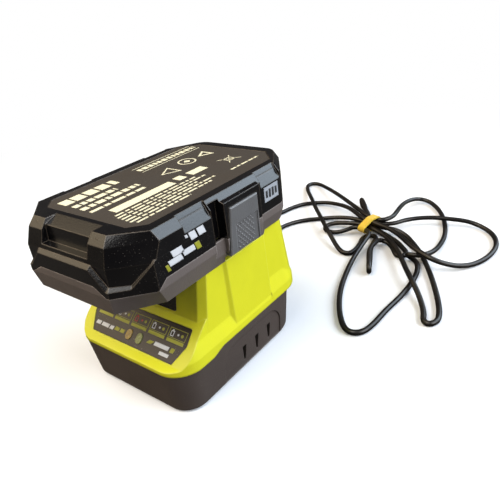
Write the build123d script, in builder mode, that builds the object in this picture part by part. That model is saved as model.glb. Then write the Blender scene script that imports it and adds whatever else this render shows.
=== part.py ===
from build123d import *
import math
import os

os.makedirs("parts", exist_ok=True)

# ---------------------------------------------------------------- driving dimensions (mm)
# The frame: X to the right, Y to the back, Z up, origin on the table under the middle of the pack.

# Pack: it stands in the charger label side up, with its stem pointing down.
pack_length = 117.0            # front to back
pack_width = 78.1              # across the flat sides
pack_high = 31.0               # underside of the pack's body to the label face
stem_length = 46.0             # how far the stem reaches below the pack's body
stem_foot_z = 17.8             # the stem's end, at rest in the charger
pack_front_y = -pack_length / 2
pack_rear_y = pack_length / 2
pack_half = pack_width / 2
pack_floor_z = stem_foot_z + stem_length       # underside of the pack's body at rest
pack_top_z = pack_floor_z + pack_high          # label face
pack_seam_z = pack_floor_z + 11.6              # joint of the black and the grey shell
pack_corner_seam_z = pack_floor_z + 8.1        # the joint dips to this round the two front corners
pack_wall = 2.2
bumper_proud = 1.6             # front bumper in front of the shell above it
ridge_high_z = pack_floor_z + 19.8             # top edge of the bumper at the middle
ridge_low_z = pack_floor_z + 12.2              # top edge of the bumper at the corners
ridge_side_z = pack_floor_z + 20.9             # top edge of the bumper where it runs out in the sides
ridge_bevel = bumper_proud - 0.2               # bevel along the bumper's top edge
shoulder_z = pack_top_z - 3.8  # lower edge of the bevel round the label face
bevel_inset = 2.95             # how far that bevel comes in at the sides
rear_step_y = 24.1             # where the pack's underside and the tower's rim step up
rear_step = 2.5
bulge_x = 40.2                 # the shell stands out this far round each latch
bulge_y = (-5.1, 19.9)
bulge_top_z = pack_top_z - 3.4
groove_x = 35.4                # the dark groove in front of each latch
groove_y = (-11.7, -5.1)
groove_top_z = pack_top_z - 1.6
scallops_y = [(pack_front_y + 30.5, groove_y[0] - 0.3), (bulge_y[1] + 2.1, pack_rear_y - 21.0)]
scallop_low_z = pack_top_z - 7.0
notch_half = 15.0
notch_wall = 1.8
notch_rear_y = pack_front_y + 12.6
notch_face_y = pack_front_y + 5.7
notch_edge_z = pack_top_z - 2.3
notch_floor_z = pack_top_z - 9.3
label_half = 31.3
label_y = (pack_front_y + 15.0, pack_rear_y - 8.0)
label_front_cut = 6.0
label_rear_cut = 9.0
label_recess = 0.4
label_thick = 0.3

# Stem and socket
stem_half_x = 20.5
stem_front_y = -12.9
stem_rear_y = 29.5
stem_gap = 0.8                 # stem to well, all round
well_wall = 1.6
well_floor_z = stem_foot_z - 2.6               # upper face of the well's floor
well_corner = 2.5
wing_half_depth = 12.0         # the wings of the well, front to back from the latch's middle
flange_thick = 1.2
flange_proud = 1.0
blade_x = [-8.0, 0.0, 8.0]
blade_mid_y = stem_front_y + 5.9
blade_width = 6.0
blade_thick = 0.8
blade_top_z = stem_foot_z + 10.2

# Latches
latch_mid_y = 6.8
latch_travel = 3.0
latch_face_x = 40.9            # outer face of the button
latch_thick = 3.0
latch_bottom_z = pack_floor_z + 3.2
latch_top_z = pack_top_z - 6.5
latch_arm_x = 25.2             # inner face of the hook arm
latch_arm_thick = 2.5
latch_arm_bottom_z = pack_floor_z - 15.8
latch_hook_x = 30.0
latch_arm_half = 5.7
latch_web_z = (pack_floor_z + 6.2, pack_floor_z + 9.2)
latch_gap = 0.4
button_foot_y = (-4.9, 17.0)
button_head_y = (-1.9, 17.2)
grip_top_z = pack_floor_z + 16.6
grip_depth = 0.6
window_inner_x = 34.0
spring_seat_x = 28.0
spring_z = pack_floor_z + 17.2
spring_radius = 3.0

# Pack, inside
stem_corner = 4.0
stem_wall = 2.0
cell_z = pack_floor_z + 17.7   # middle of the four cells that lie across the pack
cell_length = 50.0
cell_gap = 0.25
cell_rear_gap = 5.25           # last cell to the outside of the pack's rear
terminal_room = 7.25           # stem cell to the second row, over the terminals
stem_cell_y = 6.75
stem_cell_z = stem_foot_z + 3.5
# Three cells fill the length from the middle of the stem cell to the pack's rear.
cell_radius = (pack_rear_y - cell_rear_gap - stem_cell_y - 3 * cell_gap) / 5
cell_pitch = 2 * (cell_radius + cell_gap)
cell_rows = [
    stem_cell_y - 2 * cell_radius - terminal_room - cell_pitch,
    stem_cell_y - 2 * cell_radius - terminal_room,
    stem_cell_y + 2 * cell_radius + cell_gap,
    stem_cell_y + 2 * cell_radius + cell_gap + cell_pitch,
]
holder_x = 23.0
holder_rib = 3.0
holder_floor = 2.0
holder_gap = 0.15              # cell to holder
holder_spine_half = 12.0       # half width of the strip that joins the two cradles
carrier_half = 14.0            # the holder's tongue above the terminals
carrier_z = stem_foot_z + 12.7
carrier_high = 4.0
board_rib_x = (8.0, 10.0)
board_rib_z = (stem_foot_z + 12.2, pack_floor_z - 7.8)
pack_board_half = 15.0
pack_board_z = (stem_foot_z + 6.2, pack_floor_z - 5.8)
pack_board_thick = 1.6
pack_board_y = 22.0
link_thick = 0.2
link_half = 3.5
pack_screw_places = [
    (-19.5, pack_front_y + 7.7), (19.5, pack_front_y + 7.7),
    (-32.0, pack_rear_y - 22.0), (32.0, pack_rear_y - 22.0),
]
pack_boss_radius = 2.0
pack_screw_radius = 0.9
pack_head_radius = 1.6
pack_head_high = 1.4
pack_head_z = pack_floor_z + 4.8
pack_screw_tip_z = pack_floor_z + 17.2

# Charger base
base_front_y = -40.5           # front of the tray at its underside
base_rear_y = 52.2
base_half_width = 35.1
base_flare = 2.2               # how much wider the tray is at the joint, each side
base_front_flare = 3.2
seam_front_z = 23.4            # joint of tray and upper housing, front and corners
seam_side_z = 25.4             # the same along the sides
foot_height = 1.0
tray_wall = 2.2
skirt_proud = 0.5

# Status deck and tower
deck_angle = 41.2              # degrees from level
deck_foot_y = -39.4            # lower edge of the sloped deck
deck_foot_z = 26.7
tower_front_y = -24.3          # tower front at the ledge
tower_rim_y = -18.7            # tower front at the rim
tower_rim_z = pack_floor_z - 0.3
ledge_low_z = 28.5
ledge_high_z = 35.5
rim_half_width = 35.0
side_panel_front_y = -4.2      # the proud panel under each latch
side_panel_rear_y = 24.2
side_panel_rim_x = 36.2
side_panel_riser = 2.0         # how proud the side panels stand of the tower
ledge_half_width = 35.5
corner_flat = 31.5             # half width of the tower's front face
corner_depth = 2.4             # depth of the straight-cut corners beside it
lip_z = 25.3                   # top of the lip in front of the deck
skirt_rear_y = 56.2
tower_rear_low_y = 52.6
tower_rear_rim_y = 48.5
housing_wall = 2.4
housing_rear_wall = 5.4        # the skirt's back is thick: its foot overhangs the tray
tower_top_wall = 5.0

# What the deck and the tower's front carry, as distances up their own slope
panel_foot_half = 27.3
panel_mid_half = 31.4
panel_top_half = 30.6
panel_foot_s = 0.5
panel_mid_s = 10.1
panel_top_s = 18.1
panel_recess_depth = 0.8
panel_thick = 0.6
lens_x = 3.5
lens_s = 5.3
lens_long = 5.2
lens_wide = 3.6
lens_proud = 0.2
lens_head = 3.0
lens_pipe_radius = 1.4
lens_pipe_y = -35.3
tower_plate_half = 18.8
tower_plate_mid_s = 14.9
tower_plate_height = 15.6
tower_plate_recess = 0.8
tower_plate_thick = 0.9

# Charger, inside
board_z = 8.0
board_thick = 1.6
board_wide_x = 31.0
board_wide_y = (-22.0, 34.0)
board_long_x = 18.5
board_long_y = (-37.0, 47.5)
led_top_z = 10.8
core_mid_y = -25.5
core_wide = 22.0
core_deep = 8.0
core_high = 15.0
core_yoke = 3.0
core_window = 4.0
core_window_x = 5.5
winding_deep = 13.0
capacitor_x = [-12.5, -1.5]
capacitor_y = 40.5
capacitor_radius = 5.0
capacitor_height = 20.0
sink_x = 11.0
sink_y = 40.5
sink_wide = 11.0
sink_deep = 11.0
sink_high = 22.0
sink_web = 2.4
sink_fin = 1.4
sink_fins = 4

# ---------------------------------------------------------------- derived values
stem_bottom_z = pack_floor_z - stem_length
seam_base_z = foot_height
base_mid_y = (base_front_y + base_rear_y) / 2
deck_slope = math.tan(math.radians(deck_angle))


def rounded_outline(height, half_width, front, rear, front_radius, rear_radius):
    """Rounded rectangle in a level plane, symmetric about X = 0."""
    with BuildSketch(Plane.XY.offset(height)) as outline:
        with Locations((0, (front + rear) / 2)):
            Rectangle(2 * half_width, rear - front)
        fillet(outline.vertices().group_by(Axis.Y)[0], front_radius)
        fillet(outline.vertices().group_by(Axis.Y)[-1], rear_radius)
    return outline.sketch


def cornered_outline(height, half_width, front, front_flat, side_start, rear, rear_radius):
    """Outline with two straight-cut front corners and two rounded rear corners."""
    with BuildSketch(Plane.XY.offset(height)) as outline:
        with BuildLine():
            Polyline(
                (-front_flat, front), (front_flat, front), (half_width, side_start),
                (half_width, rear), (-half_width, rear), (-half_width, side_start),
                close=True,
            )
        make_face()
        fillet(outline.vertices().group_by(Axis.Y)[-1], rear_radius)
    return outline.sketch


def pack_outline(height, half_width, front, front_flat, side_start, rear, rear_flat, side_end, rear_radius):
    """Outline with four straight-cut corners; the rear ones are rounded where they meet the sides."""
    with BuildSketch(Plane.XY.offset(height)) as outline:
        with BuildLine():
            Polyline(
                (-front_flat, front), (front_flat, front), (half_width, side_start), (half_width, side_end),
                (rear_flat, rear), (-rear_flat, rear), (-half_width, side_end), (-half_width, side_start),
                close=True,
            )
        make_face()
        fillet(outline.vertices().filter_by(lambda corner: corner.Y > side_start + 1), rear_radius)
    return outline.sketch


def side_prism(points, half_depth):
    """Prism along X, both ways from the middle, of a profile given as (y, z) points."""
    with BuildPart() as prism:
        with BuildSketch(Plane.YZ):
            with BuildLine():
                Polyline(*points, close=True)
            make_face()
        extrude(amount=half_depth, both=True)
    return prism.part


def front_prism(points, y_from, y_to):
    """Prism along Y of a profile given as (x, z) points."""
    with BuildPart() as prism:
        with BuildSketch(Plane.XZ.offset(-y_from)):
            with BuildLine():
                Polyline(*points, close=True)
            make_face()
        extrude(amount=y_from - y_to)
    return prism.part


def level_box(x_range, y_range, z_range):
    """Box between two corners."""
    size = [high - low for low, high in (x_range, y_range, z_range)]
    middle = [(high + low) / 2 for low, high in (x_range, y_range, z_range)]
    with BuildPart() as box:
        with Locations(tuple(middle)):
            Box(*size)
    return box.part


# ---------------------------------------------------------------- charger base
seam_half_width = base_half_width + base_flare
seam_front_y = base_front_y - base_front_flare
seam_rear_y = base_rear_y + 0.8
seam_bend_y = (-22.5, -15.5)   # the joint climbs from the front level to the side level here

over_seam = [
    (seam_front_y - 20, seam_front_z), (seam_bend_y[0], seam_front_z),
    (seam_bend_y[1], seam_side_z), (seam_rear_y + 20, seam_side_z),
    (seam_rear_y + 20, 120), (seam_front_y - 20, 120),
]


tray_front_radius = 11.0       # at its underside; it opens with the flare
tray_rear_radius = 22.0


def tray_solid(inset, bottom, top):
    """The tray's flared block, inset by a wall, between two heights on the same flare."""
    sections = []
    for height in (bottom, top):
        share = (height - seam_base_z) / (seam_side_z - seam_base_z)
        sections.append(rounded_outline(
            height,
            base_half_width + base_flare * share - inset,
            base_front_y - base_front_flare * share + inset,
            base_rear_y + 0.8 * share - inset,
            tray_front_radius + 2.5 * share - inset * 0.8,
            tray_rear_radius - inset * 0.8,
        ))
    with BuildPart() as block:
        loft(sections=sections, ruled=True)
    return block.part


vent_y = [0.5, 10.7, 20.9]
vent_bottom_z = 4.5
vent_top_z = 13.4
side_recess_depth = 0.6
side_recess_y = (-15.5, 31.0)
side_recess_top_z = 20.5
screw_places = [(-26.5, -29.0), (26.5, -29.0), (-24.0, 42.0), (24.0, 42.0)]
screw_boss_radius = 4.5
standoff_places = [(-27.0, -13.0), (27.0, -13.0), (-27.0, 26.0), (27.0, 26.0)]
standoff_radius = 2.2
relief_z = 13.5
relief_neck_radius = 4.0
screw_shank_radius = 1.5
screw_head_radius = 2.9
screw_head_z = 9.2             # seat under the head
screw_head_high = 2.2
screw_tip_z = 29.0
foot_places = [(-24.0, -17.0), (24.0, -17.0), (-24.0, 32.0), (24.0, 32.0)]
foot_radius = 4.0
foot_pocket = 0.8
tongue_height = 1.5            # lip of the tray inside the upper housing
tongue_inset = 2.9
tongue_thick = 1.0
tongue_front_y = -30.0
keyhole_spacing = 40.0
keyhole_y = base_mid_y
keyhole_head_radius = 4.0
keyhole_neck_radius = 2.2
keyhole_run = 6.0
tray_floor_z = seam_base_z + tray_wall

with BuildPart() as side_recesses:
    add(tray_solid(-1.0, seam_base_z + 0.5, seam_side_z))
    add(tray_solid(side_recess_depth, seam_base_z + 0.5, seam_side_z), mode=Mode.SUBTRACT)
    with BuildPart(mode=Mode.PRIVATE) as arch:
        with BuildSketch(Plane.YZ):
            with BuildLine():
                Polyline(
                    (side_recess_y[0], -2), (side_recess_y[1], -2),
                    (side_recess_y[1], side_recess_top_z),
                    (side_recess_y[0], side_recess_top_z), close=True,
                )
            arch_face = make_face()
            fillet(arch_face.vertices().group_by(Axis.Y)[-1], 11.0)
        extrude(amount=60, both=True)
    add(arch.part, mode=Mode.INTERSECT)

over_tongue = [(y, z + tongue_height) for y, z in over_seam]
with BuildPart() as seam_tongue:
    add(tray_solid(tray_wall - 0.2, seam_front_z - 3, seam_front_z - 0.2))
    add(tray_solid(tongue_inset, seam_front_z - 3, seam_side_z + tongue_height + 0.1))
    add(tray_solid(tongue_inset + tongue_thick, seam_front_z - 4, 60), mode=Mode.SUBTRACT)
    add(side_prism(over_tongue, 60), mode=Mode.SUBTRACT)
    add(level_box((-60, 60), (-80, tongue_front_y), (0, 60)), mode=Mode.SUBTRACT)

with BuildPart() as base_tray:
    add(tray_solid(0, seam_base_z, seam_side_z))
    fillet(base_tray.edges().group_by(Axis.Z)[0], 1.2)
    add(tray_solid(tray_wall, tray_floor_z, seam_side_z + 0.01), mode=Mode.SUBTRACT)
    with Locations(*[(x, y, seam_base_z + 1) for x, y in screw_places]):
        Cylinder(screw_boss_radius, seam_side_z, align=(Align.CENTER, Align.CENTER, Align.MIN))
    add(side_prism(over_seam, 60), mode=Mode.SUBTRACT)
    add(seam_tongue.part)
    add(side_recesses.part, mode=Mode.SUBTRACT)
    for vent in vent_y:
        add(side_prism([
            (vent - 0.6, vent_bottom_z), (vent + 0.6, vent_bottom_z),
            (vent + 1.5, vent_top_z), (vent - 1.5, vent_top_z),
        ], 60), mode=Mode.SUBTRACT)
    with Locations(*[(x, y, seam_base_z + 1) for x, y in standoff_places]):
        Cylinder(standoff_radius, board_z - seam_base_z - 1,
                 align=(Align.CENTER, Align.CENTER, Align.MIN))
    with Locations(*[(x, y, 0) for x, y in screw_places]):
        Cylinder(screw_shank_radius + 0.25, 60, mode=Mode.SUBTRACT)
        Cylinder(screw_head_radius + 0.3, 2 * screw_head_z, mode=Mode.SUBTRACT)
    with Locations((0, base_rear_y, relief_z)):
        Cylinder(relief_neck_radius + 0.1, 12, rotation=(90, 0, 0), mode=Mode.SUBTRACT)
    with Locations(*[(x, y, seam_base_z) for x, y in foot_places]):
        Cylinder(foot_radius + 0.1, 2 * foot_pocket, mode=Mode.SUBTRACT)
    with BuildSketch(Plane.XY.offset(seam_base_z - 1)):
        with Locations((-keyhole_spacing / 2, keyhole_y), (keyhole_spacing / 2, keyhole_y)):
            Circle(keyhole_head_radius)
            with Locations((0, keyhole_run / 2)):
                SlotOverall(keyhole_run + 2 * keyhole_neck_radius, 2 * keyhole_neck_radius, rotation=90)
    extrude(amount=tray_wall + 2, mode=Mode.SUBTRACT)
base_tray.part.label = "base_tray"
export_step(base_tray.part, "parts/base_tray.step")

# ---------------------------------------------------------------- upper housing
skirt_half_width = seam_half_width + skirt_proud
deck_plane = Plane(
    origin=(0, deck_foot_y, deck_foot_z), x_dir=(1, 0, 0),
    z_dir=(0, -math.sin(math.radians(deck_angle)), math.cos(math.radians(deck_angle))),
)
tower_lean = (tower_rim_y - tower_front_y) / (tower_rim_z - ledge_high_z)
tower_front_plane = Plane(
    origin=(0, tower_front_y, ledge_high_z), x_dir=(1, 0, 0), z_dir=(0, -1, tower_lean),
)
tower_base_z = seam_front_z + 2
rear_rim_z = tower_rim_z + rear_step


def skirt_solid(inset, rear_inset, rise):
    """Skirt, ledge bevel and the block under the deck; rise lifts the ledge."""
    rows = [
        (seam_front_z - 1, skirt_half_width, seam_front_y + 0.1, skirt_rear_y, 19.0),
        (ledge_low_z + rise * 0.6, skirt_half_width - 0.3, seam_front_y + 0.3, skirt_rear_y - 0.2, 19.0),
        (ledge_high_z + rise, ledge_half_width, seam_front_y + 0.3, tower_rear_low_y, 17.0),
        (ledge_high_z + 7, ledge_half_width - 0.2, seam_front_y + 0.3, tower_rear_low_y - 0.6, 17.0),
    ]
    with BuildPart() as block:
        loft(sections=[
            rounded_outline(height, half - inset, front + inset, rear - rear_inset,
                            13.5 - inset, radius - inset)
            for height, half, front, rear, radius in rows
        ], ruled=True)
        deck_top = deck_foot_z + deck_slope * (tower_rim_y - deck_foot_y)
        drop = inset / math.cos(math.radians(deck_angle))
        add(side_prism([
            (seam_front_y - 20, lip_z - drop), (seam_front_y + 0.3, lip_z - drop),
            (deck_foot_y, deck_foot_z - drop), (tower_rim_y, deck_top - drop),
            (tower_rim_y, 120), (seam_front_y - 20, 120),
        ], 60), mode=Mode.SUBTRACT)
    return block.part


def tower_solid(inset, rear_inset, rim_drop):
    """Tower with straight-cut front corners, and the proud panel under each latch."""
    def front_at(height):
        return tower_front_y + tower_lean * (height - ledge_high_z)

    with BuildPart() as block:
        loft(sections=[
            cornered_outline(height, half - inset, front_at(height) + inset, corner_flat - inset * 0.4,
                             front_at(height) + corner_depth + inset * 0.6,
                             rear - rear_inset, 13.5 - inset)
            for height, half, rear in (
                (tower_base_z, ledge_half_width + 0.2, tower_rear_low_y + 2.0),
                (rear_rim_z - rim_drop, rim_half_width, tower_rear_rim_y),
            )
        ], ruled=True)
        if rim_drop == 0:
            add(level_box((-60, 60), (-60, rear_step_y), (tower_rim_z, 120)), mode=Mode.SUBTRACT)
        with BuildPart(mode=Mode.PRIVATE) as side_panels:
            with BuildSketch(Plane.XY.offset(seam_front_z - 1)):
                with BuildLine():
                    Polyline(*panel_corners(seam_half_width - inset, inset), close=True)
                make_face()
            with BuildSketch(Plane.XY.offset(tower_rim_z - rim_drop)):
                with BuildLine():
                    Polyline(*panel_corners(side_panel_rim_x - inset, inset), close=True)
                make_face()
            loft(ruled=True)
        add(side_panels.part)
    return block.part


def panel_corners(half, inset):
    """Level outline across both side panels, with a sloped riser at each front edge."""
    front = side_panel_front_y + inset
    rear = side_panel_rear_y - inset
    low = half - side_panel_riser
    right = [(low, front - side_panel_riser * 1.3), (half, front), (half, rear), (low, rear + 1.2)]
    return right + [(-x, y) for x, y in reversed(right)]


with BuildPart() as housing_form:
    add(skirt_solid(0, 0, 0))
    with BuildPart(mode=Mode.PRIVATE) as rear_ledge:
        add(skirt_solid(0, 0, 2.5))
        add(level_box((-60, 60), (side_panel_rear_y, 120), (0, 120)), mode=Mode.INTERSECT)
    add(rear_ledge.part)
    add(tower_solid(0, 0, 0))
    add(side_prism(over_seam, 60), mode=Mode.INTERSECT)

with BuildPart() as housing_cavity:
    add(skirt_solid(housing_wall, housing_rear_wall, 0))
    add(tower_solid(housing_wall, housing_wall, tower_top_wall))
    add(level_box((-60, 60), (-60, 60), (tower_rim_z - housing_wall, 120)), mode=Mode.SUBTRACT)

# Socket: the well's inside is the stem plus a gap, with a wing each side for the hooks.
well_inner_x = stem_half_x + stem_gap
well_inner_y = (stem_front_y - stem_gap, stem_rear_y + stem_gap)
wing_inner_x = latch_hook_x + 0.6
wing_inner_y = (latch_mid_y - wing_half_depth, latch_mid_y + wing_half_depth)
wing_floor_z = latch_arm_bottom_z - 4.0
flange_z = tower_rim_z - flange_thick


def well_block(grow, z_bottom, z_wing, z_top):
    """The well's plan, grown by a wall, between two heights; the wings start higher up."""
    stem_part = level_box(
        (-well_inner_x - grow, well_inner_x + grow),
        (well_inner_y[0] - grow, well_inner_y[1] + grow), (z_bottom, z_top),
    )
    wing_part = level_box(
        (-wing_inner_x - grow, wing_inner_x + grow),
        (wing_inner_y[0] - grow, wing_inner_y[1] + grow), (z_wing, z_top),
    )
    with BuildPart() as block:
        add(stem_part)
        add(wing_part)
        fillet(block.edges().filter_by(Axis.Z), well_corner + grow * 0.5)
    return block.part


panel_corners_up = [
    (panel_foot_half, panel_foot_s), (panel_mid_half, panel_mid_s), (panel_top_half, panel_top_s),
]
with BuildPart() as panel_recess:
    with BuildSketch(deck_plane) as panel_outline:
        with BuildLine():
            Polyline(*panel_corners_up, *[(-x, s) for x, s in reversed(panel_corners_up)], close=True)
        make_face()
        fillet(panel_outline.vertices(), 1.0)
    extrude(amount=-panel_recess_depth)

with BuildPart() as upper_housing:
    add(housing_form.part)
    add(housing_cavity.part, mode=Mode.SUBTRACT)
    with BuildPart(mode=Mode.PRIVATE) as screw_posts:
        with Locations(*[(x, y, seam_front_z - 2) for x, y in screw_places]):
            Cylinder(screw_boss_radius, 60, align=(Align.CENTER, Align.CENTER, Align.MIN))
        add(housing_form.part, mode=Mode.INTERSECT)
    add(screw_posts.part)
    add(well_block(well_wall + 0.1, 0, wing_floor_z - well_wall - 1, 120), mode=Mode.SUBTRACT)
    add(well_block(well_wall + flange_proud + 0.1, flange_z, flange_z, 120), mode=Mode.SUBTRACT)
    add(panel_recess.part, mode=Mode.SUBTRACT)
    with BuildSketch(tower_front_plane.offset(-tower_plate_recess)):
        with Locations((0, tower_plate_mid_s)):
            RectangleRounded(2 * tower_plate_half, tower_plate_height, 1.2)
    extrude(amount=5, mode=Mode.SUBTRACT)
    with BuildSketch(deck_plane):
        with Locations((-lens_x, lens_s), (lens_x, lens_s)):
            SlotOverall(lens_long, lens_wide, rotation=90)
    extrude(amount=-8, mode=Mode.SUBTRACT)
    with Locations((-lens_x, lens_pipe_y, 0), (lens_x, lens_pipe_y, 0)):
        Cylinder(lens_pipe_radius + 0.2, deck_foot_z + 2.6,
                 align=(Align.CENTER, Align.CENTER, Align.MIN), mode=Mode.SUBTRACT)
    with Locations(*[(x, y, 0) for x, y in screw_places]):
        Cylinder(screw_shank_radius, 2 * (screw_tip_z + 1), mode=Mode.SUBTRACT)
upper_housing.part.label = "upper_housing"
export_step(upper_housing.part, "parts/upper_housing.step")

with BuildPart() as socket_well:
    add(well_block(well_wall, well_floor_z - well_wall, wing_floor_z - well_wall, tower_rim_z))
    add(well_block(well_wall + flange_proud, flange_z, flange_z, tower_rim_z))
    add(well_block(0, well_floor_z, wing_floor_z, 120), mode=Mode.SUBTRACT)
    with Locations(*[(x, blade_mid_y, well_floor_z) for x in blade_x]):
        Box(blade_thick + 1.4, blade_width + 1.0, 3 * well_wall, mode=Mode.SUBTRACT)
socket_well.part.label = "socket_well"
export_step(socket_well.part, "parts/socket_well.step")

# ---------------------------------------------------------------- charger, inside
with BuildPart() as circuit_board:
    with BuildSketch(Plane.XY.offset(board_z)):
        with Locations((0, (board_wide_y[0] + board_wide_y[1]) / 2)):
            Rectangle(2 * board_wide_x, board_wide_y[1] - board_wide_y[0])
        with Locations((0, (board_long_y[0] + board_long_y[1]) / 2)):
            Rectangle(2 * board_long_x, board_long_y[1] - board_long_y[0])
    extrude(amount=board_thick)
circuit_board.part.label = "circuit_board"
export_step(circuit_board.part, "parts/circuit_board.step")
board_top_z = board_z + board_thick

with BuildPart() as charge_contacts:
    with Locations(*[(x, blade_mid_y, board_top_z) for x in blade_x]):
        Box(3.0, blade_width + 1.2, 1.0, align=(Align.CENTER, Align.CENTER, Align.MIN))
        Box(blade_thick, blade_width, blade_top_z - board_top_z,
            align=(Align.CENTER, Align.CENTER, Align.MIN))
    chamfer(charge_contacts.edges().group_by(Axis.Z)[-1].filter_by(Axis.Y), blade_thick * 0.35)
charge_contacts.part.label = "charge_contacts"
export_step(charge_contacts.part, "parts/charge_contacts.step")

with BuildPart() as transformer_core:
    with Locations((0, core_mid_y, board_top_z)):
        Box(core_wide, core_deep, core_high, align=(Align.CENTER, Align.CENTER, Align.MIN))
    with Locations(*[(x, core_mid_y, board_top_z + core_high / 2) for x in (-core_window_x, core_window_x)]):
        Box(core_window, 2 * core_deep, core_high - 2 * core_yoke, mode=Mode.SUBTRACT)
transformer_core.part.label = "transformer_core"
export_step(transformer_core.part, "parts/transformer_core.step")

with BuildPart() as transformer_winding:
    winding_half = core_window_x + core_window / 2
    with Locations((0, core_mid_y, board_top_z + core_high / 2)):
        Box(2 * winding_half - 0.2, winding_deep, core_high - 2 * core_yoke - 0.2)
        fillet(transformer_winding.edges().filter_by(Axis.Z), 3.0)
        Box(2 * core_window_x - core_window + 0.2, core_deep + 0.2, core_high, mode=Mode.SUBTRACT)
transformer_winding.part.label = "transformer_winding"
export_step(transformer_winding.part, "parts/transformer_winding.step")

with BuildPart() as capacitors:
    with Locations(*[(x, capacitor_y, board_top_z) for x in capacitor_x]):
        Cylinder(capacitor_radius, capacitor_height, align=(Align.CENTER, Align.CENTER, Align.MIN))
    fillet(capacitors.edges().group_by(Axis.Z)[-1], 0.8)
capacitors.part.label = "capacitors"
export_step(capacitors.part, "parts/capacitors.step")

with BuildPart() as heat_sink:
    with Locations((sink_x, sink_y, board_top_z)):
        Box(sink_wide, sink_web, sink_high, align=(Align.CENTER, Align.CENTER, Align.MIN))
        with GridLocations((sink_wide - sink_fin) / (sink_fins - 1), 0, sink_fins, 1):
            Box(sink_fin, sink_deep, sink_high, align=(Align.CENTER, Align.CENTER, Align.MIN))
heat_sink.part.label = "heat_sink"
export_step(heat_sink.part, "parts/heat_sink.step")

with BuildPart() as rubber_feet:
    with Locations(*[(x, y, 0) for x, y in foot_places]):
        Cylinder(foot_radius, foot_height + foot_pocket, align=(Align.CENTER, Align.CENTER, Align.MIN))
    chamfer(rubber_feet.edges().group_by(Axis.Z)[0], 0.4)
rubber_feet.part.label = "rubber_feet"
export_step(rubber_feet.part, "parts/rubber_feet.step")

with BuildPart() as housing_screws:
    with Locations(*[(x, y, screw_head_z) for x, y in screw_places]):
        Cylinder(screw_head_radius, screw_head_high, align=(Align.CENTER, Align.CENTER, Align.MAX))
        Cylinder(screw_shank_radius, screw_tip_z - screw_head_z, align=(Align.CENTER, Align.CENTER, Align.MIN))
        with Locations((0, 0, -screw_head_high)):
            Box(3.2, 0.7, 1.6, mode=Mode.SUBTRACT)
            Box(0.7, 3.2, 1.6, mode=Mode.SUBTRACT)
housing_screws.part.label = "housing_screws"
export_step(housing_screws.part, "parts/housing_screws.step")

# ---------------------------------------------------------------- charger, front
with BuildPart() as status_panel:
    with BuildSketch(deck_plane.offset(-panel_recess_depth)) as panel_shape:
        with BuildLine():
            Polyline(*panel_corners_up, *[(-x, s) for x, s in reversed(panel_corners_up)], close=True)
        make_face()
        fillet(panel_shape.vertices(), 1.0)
        offset(amount=-0.1)
        with Locations((-lens_x, lens_s), (lens_x, lens_s)):
            SlotOverall(lens_long + 0.1, lens_wide + 0.1, rotation=90, mode=Mode.SUBTRACT)
    extrude(amount=panel_thick)
status_panel.part.label = "status_panel"
export_step(status_panel.part, "parts/status_panel.step")

for lens_name, side in (("led_lens_amber", -1), ("led_lens_green", 1)):
    with BuildPart() as lens:
        with BuildSketch(deck_plane.offset(lens_proud)):
            with Locations((side * lens_x, lens_s)):
                SlotOverall(lens_long - 0.1, lens_wide - 0.1, rotation=90)
        extrude(amount=-lens_head)
        with BuildPart(mode=Mode.PRIVATE) as pipe:
            with Locations((side * lens_x, lens_pipe_y, led_top_z)):
                Cylinder(lens_pipe_radius, 40, align=(Align.CENTER, Align.CENTER, Align.MIN))
            split(bisect_by=deck_plane.offset(-1.0), keep=Keep.BOTTOM)
        add(pipe.part)
    lens.part.label = lens_name
    export_step(lens.part, "parts/" + lens_name + ".step")

with BuildPart() as status_leds:
    with Locations((-lens_x, lens_pipe_y, board_top_z), (lens_x, lens_pipe_y, board_top_z)):
        Box(3.2, 1.8, led_top_z - board_top_z, align=(Align.CENTER, Align.CENTER, Align.MIN))
status_leds.part.label = "status_leds"
export_step(status_leds.part, "parts/status_leds.step")

with BuildPart() as tower_plate:
    with BuildSketch(tower_front_plane.offset(-tower_plate_recess)):
        with Locations((0, tower_plate_mid_s)):
            RectangleRounded(2 * tower_plate_half - 0.2, tower_plate_height - 0.2, 1.1)
    extrude(amount=tower_plate_thick)
tower_plate.part.label = "tower_plate"
export_step(tower_plate.part, "parts/tower_plate.step")

# ---------------------------------------------------------------- pack, outer form
# Level outlines of the shells: height, half width, front, half of the front flat, where the
# straight side starts, rear, half of the rear flat, where the side ends, rear corner radius.
pack_foot = (
    pack_floor_z, pack_half - 2.55, pack_front_y + 1.5, 24.0, pack_front_y + 18.0,
    pack_rear_y - 2.5, 23.7, pack_rear_y - 20.8, 9.0)
pack_bumper = (
    pack_corner_seam_z, pack_half, pack_front_y, 25.8, pack_front_y + 13.35,
    pack_rear_y, 25.0, pack_rear_y - 20.0, 10.0)
pack_waist = (
    pack_corner_seam_z, pack_half, pack_front_y + bumper_proud, 25.2, pack_front_y + 14.3,
    pack_rear_y, 25.0, pack_rear_y - 20.0, 10.0)
pack_shoulder = (
    shoulder_z, pack_half - 0.05, pack_front_y + 4.1, 24.4, pack_front_y + 18.2,
    pack_rear_y - 0.4, 24.8, pack_rear_y - 20.1, 9.8)
pack_rim = (
    pack_top_z, pack_half - bevel_inset, pack_front_y + 7.2, 23.6, pack_front_y + 17.4,
    pack_rear_y - 2.5, 23.6, pack_rear_y - 20.9, 8.8)


def level_section(section, inset=0.0, height=None):
    """One of the outlines above, inset by a wall and moved to a height."""
    z, half, front, flat, side_start, rear, rear_flat, side_end, radius = section
    return pack_outline(
        z if height is None else height, half - inset, front + inset, flat - inset * 0.45,
        side_start + inset * 0.55, rear - inset, rear_flat - inset * 0.52, side_end - inset * 0.32,
        radius - inset,
    )


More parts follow.
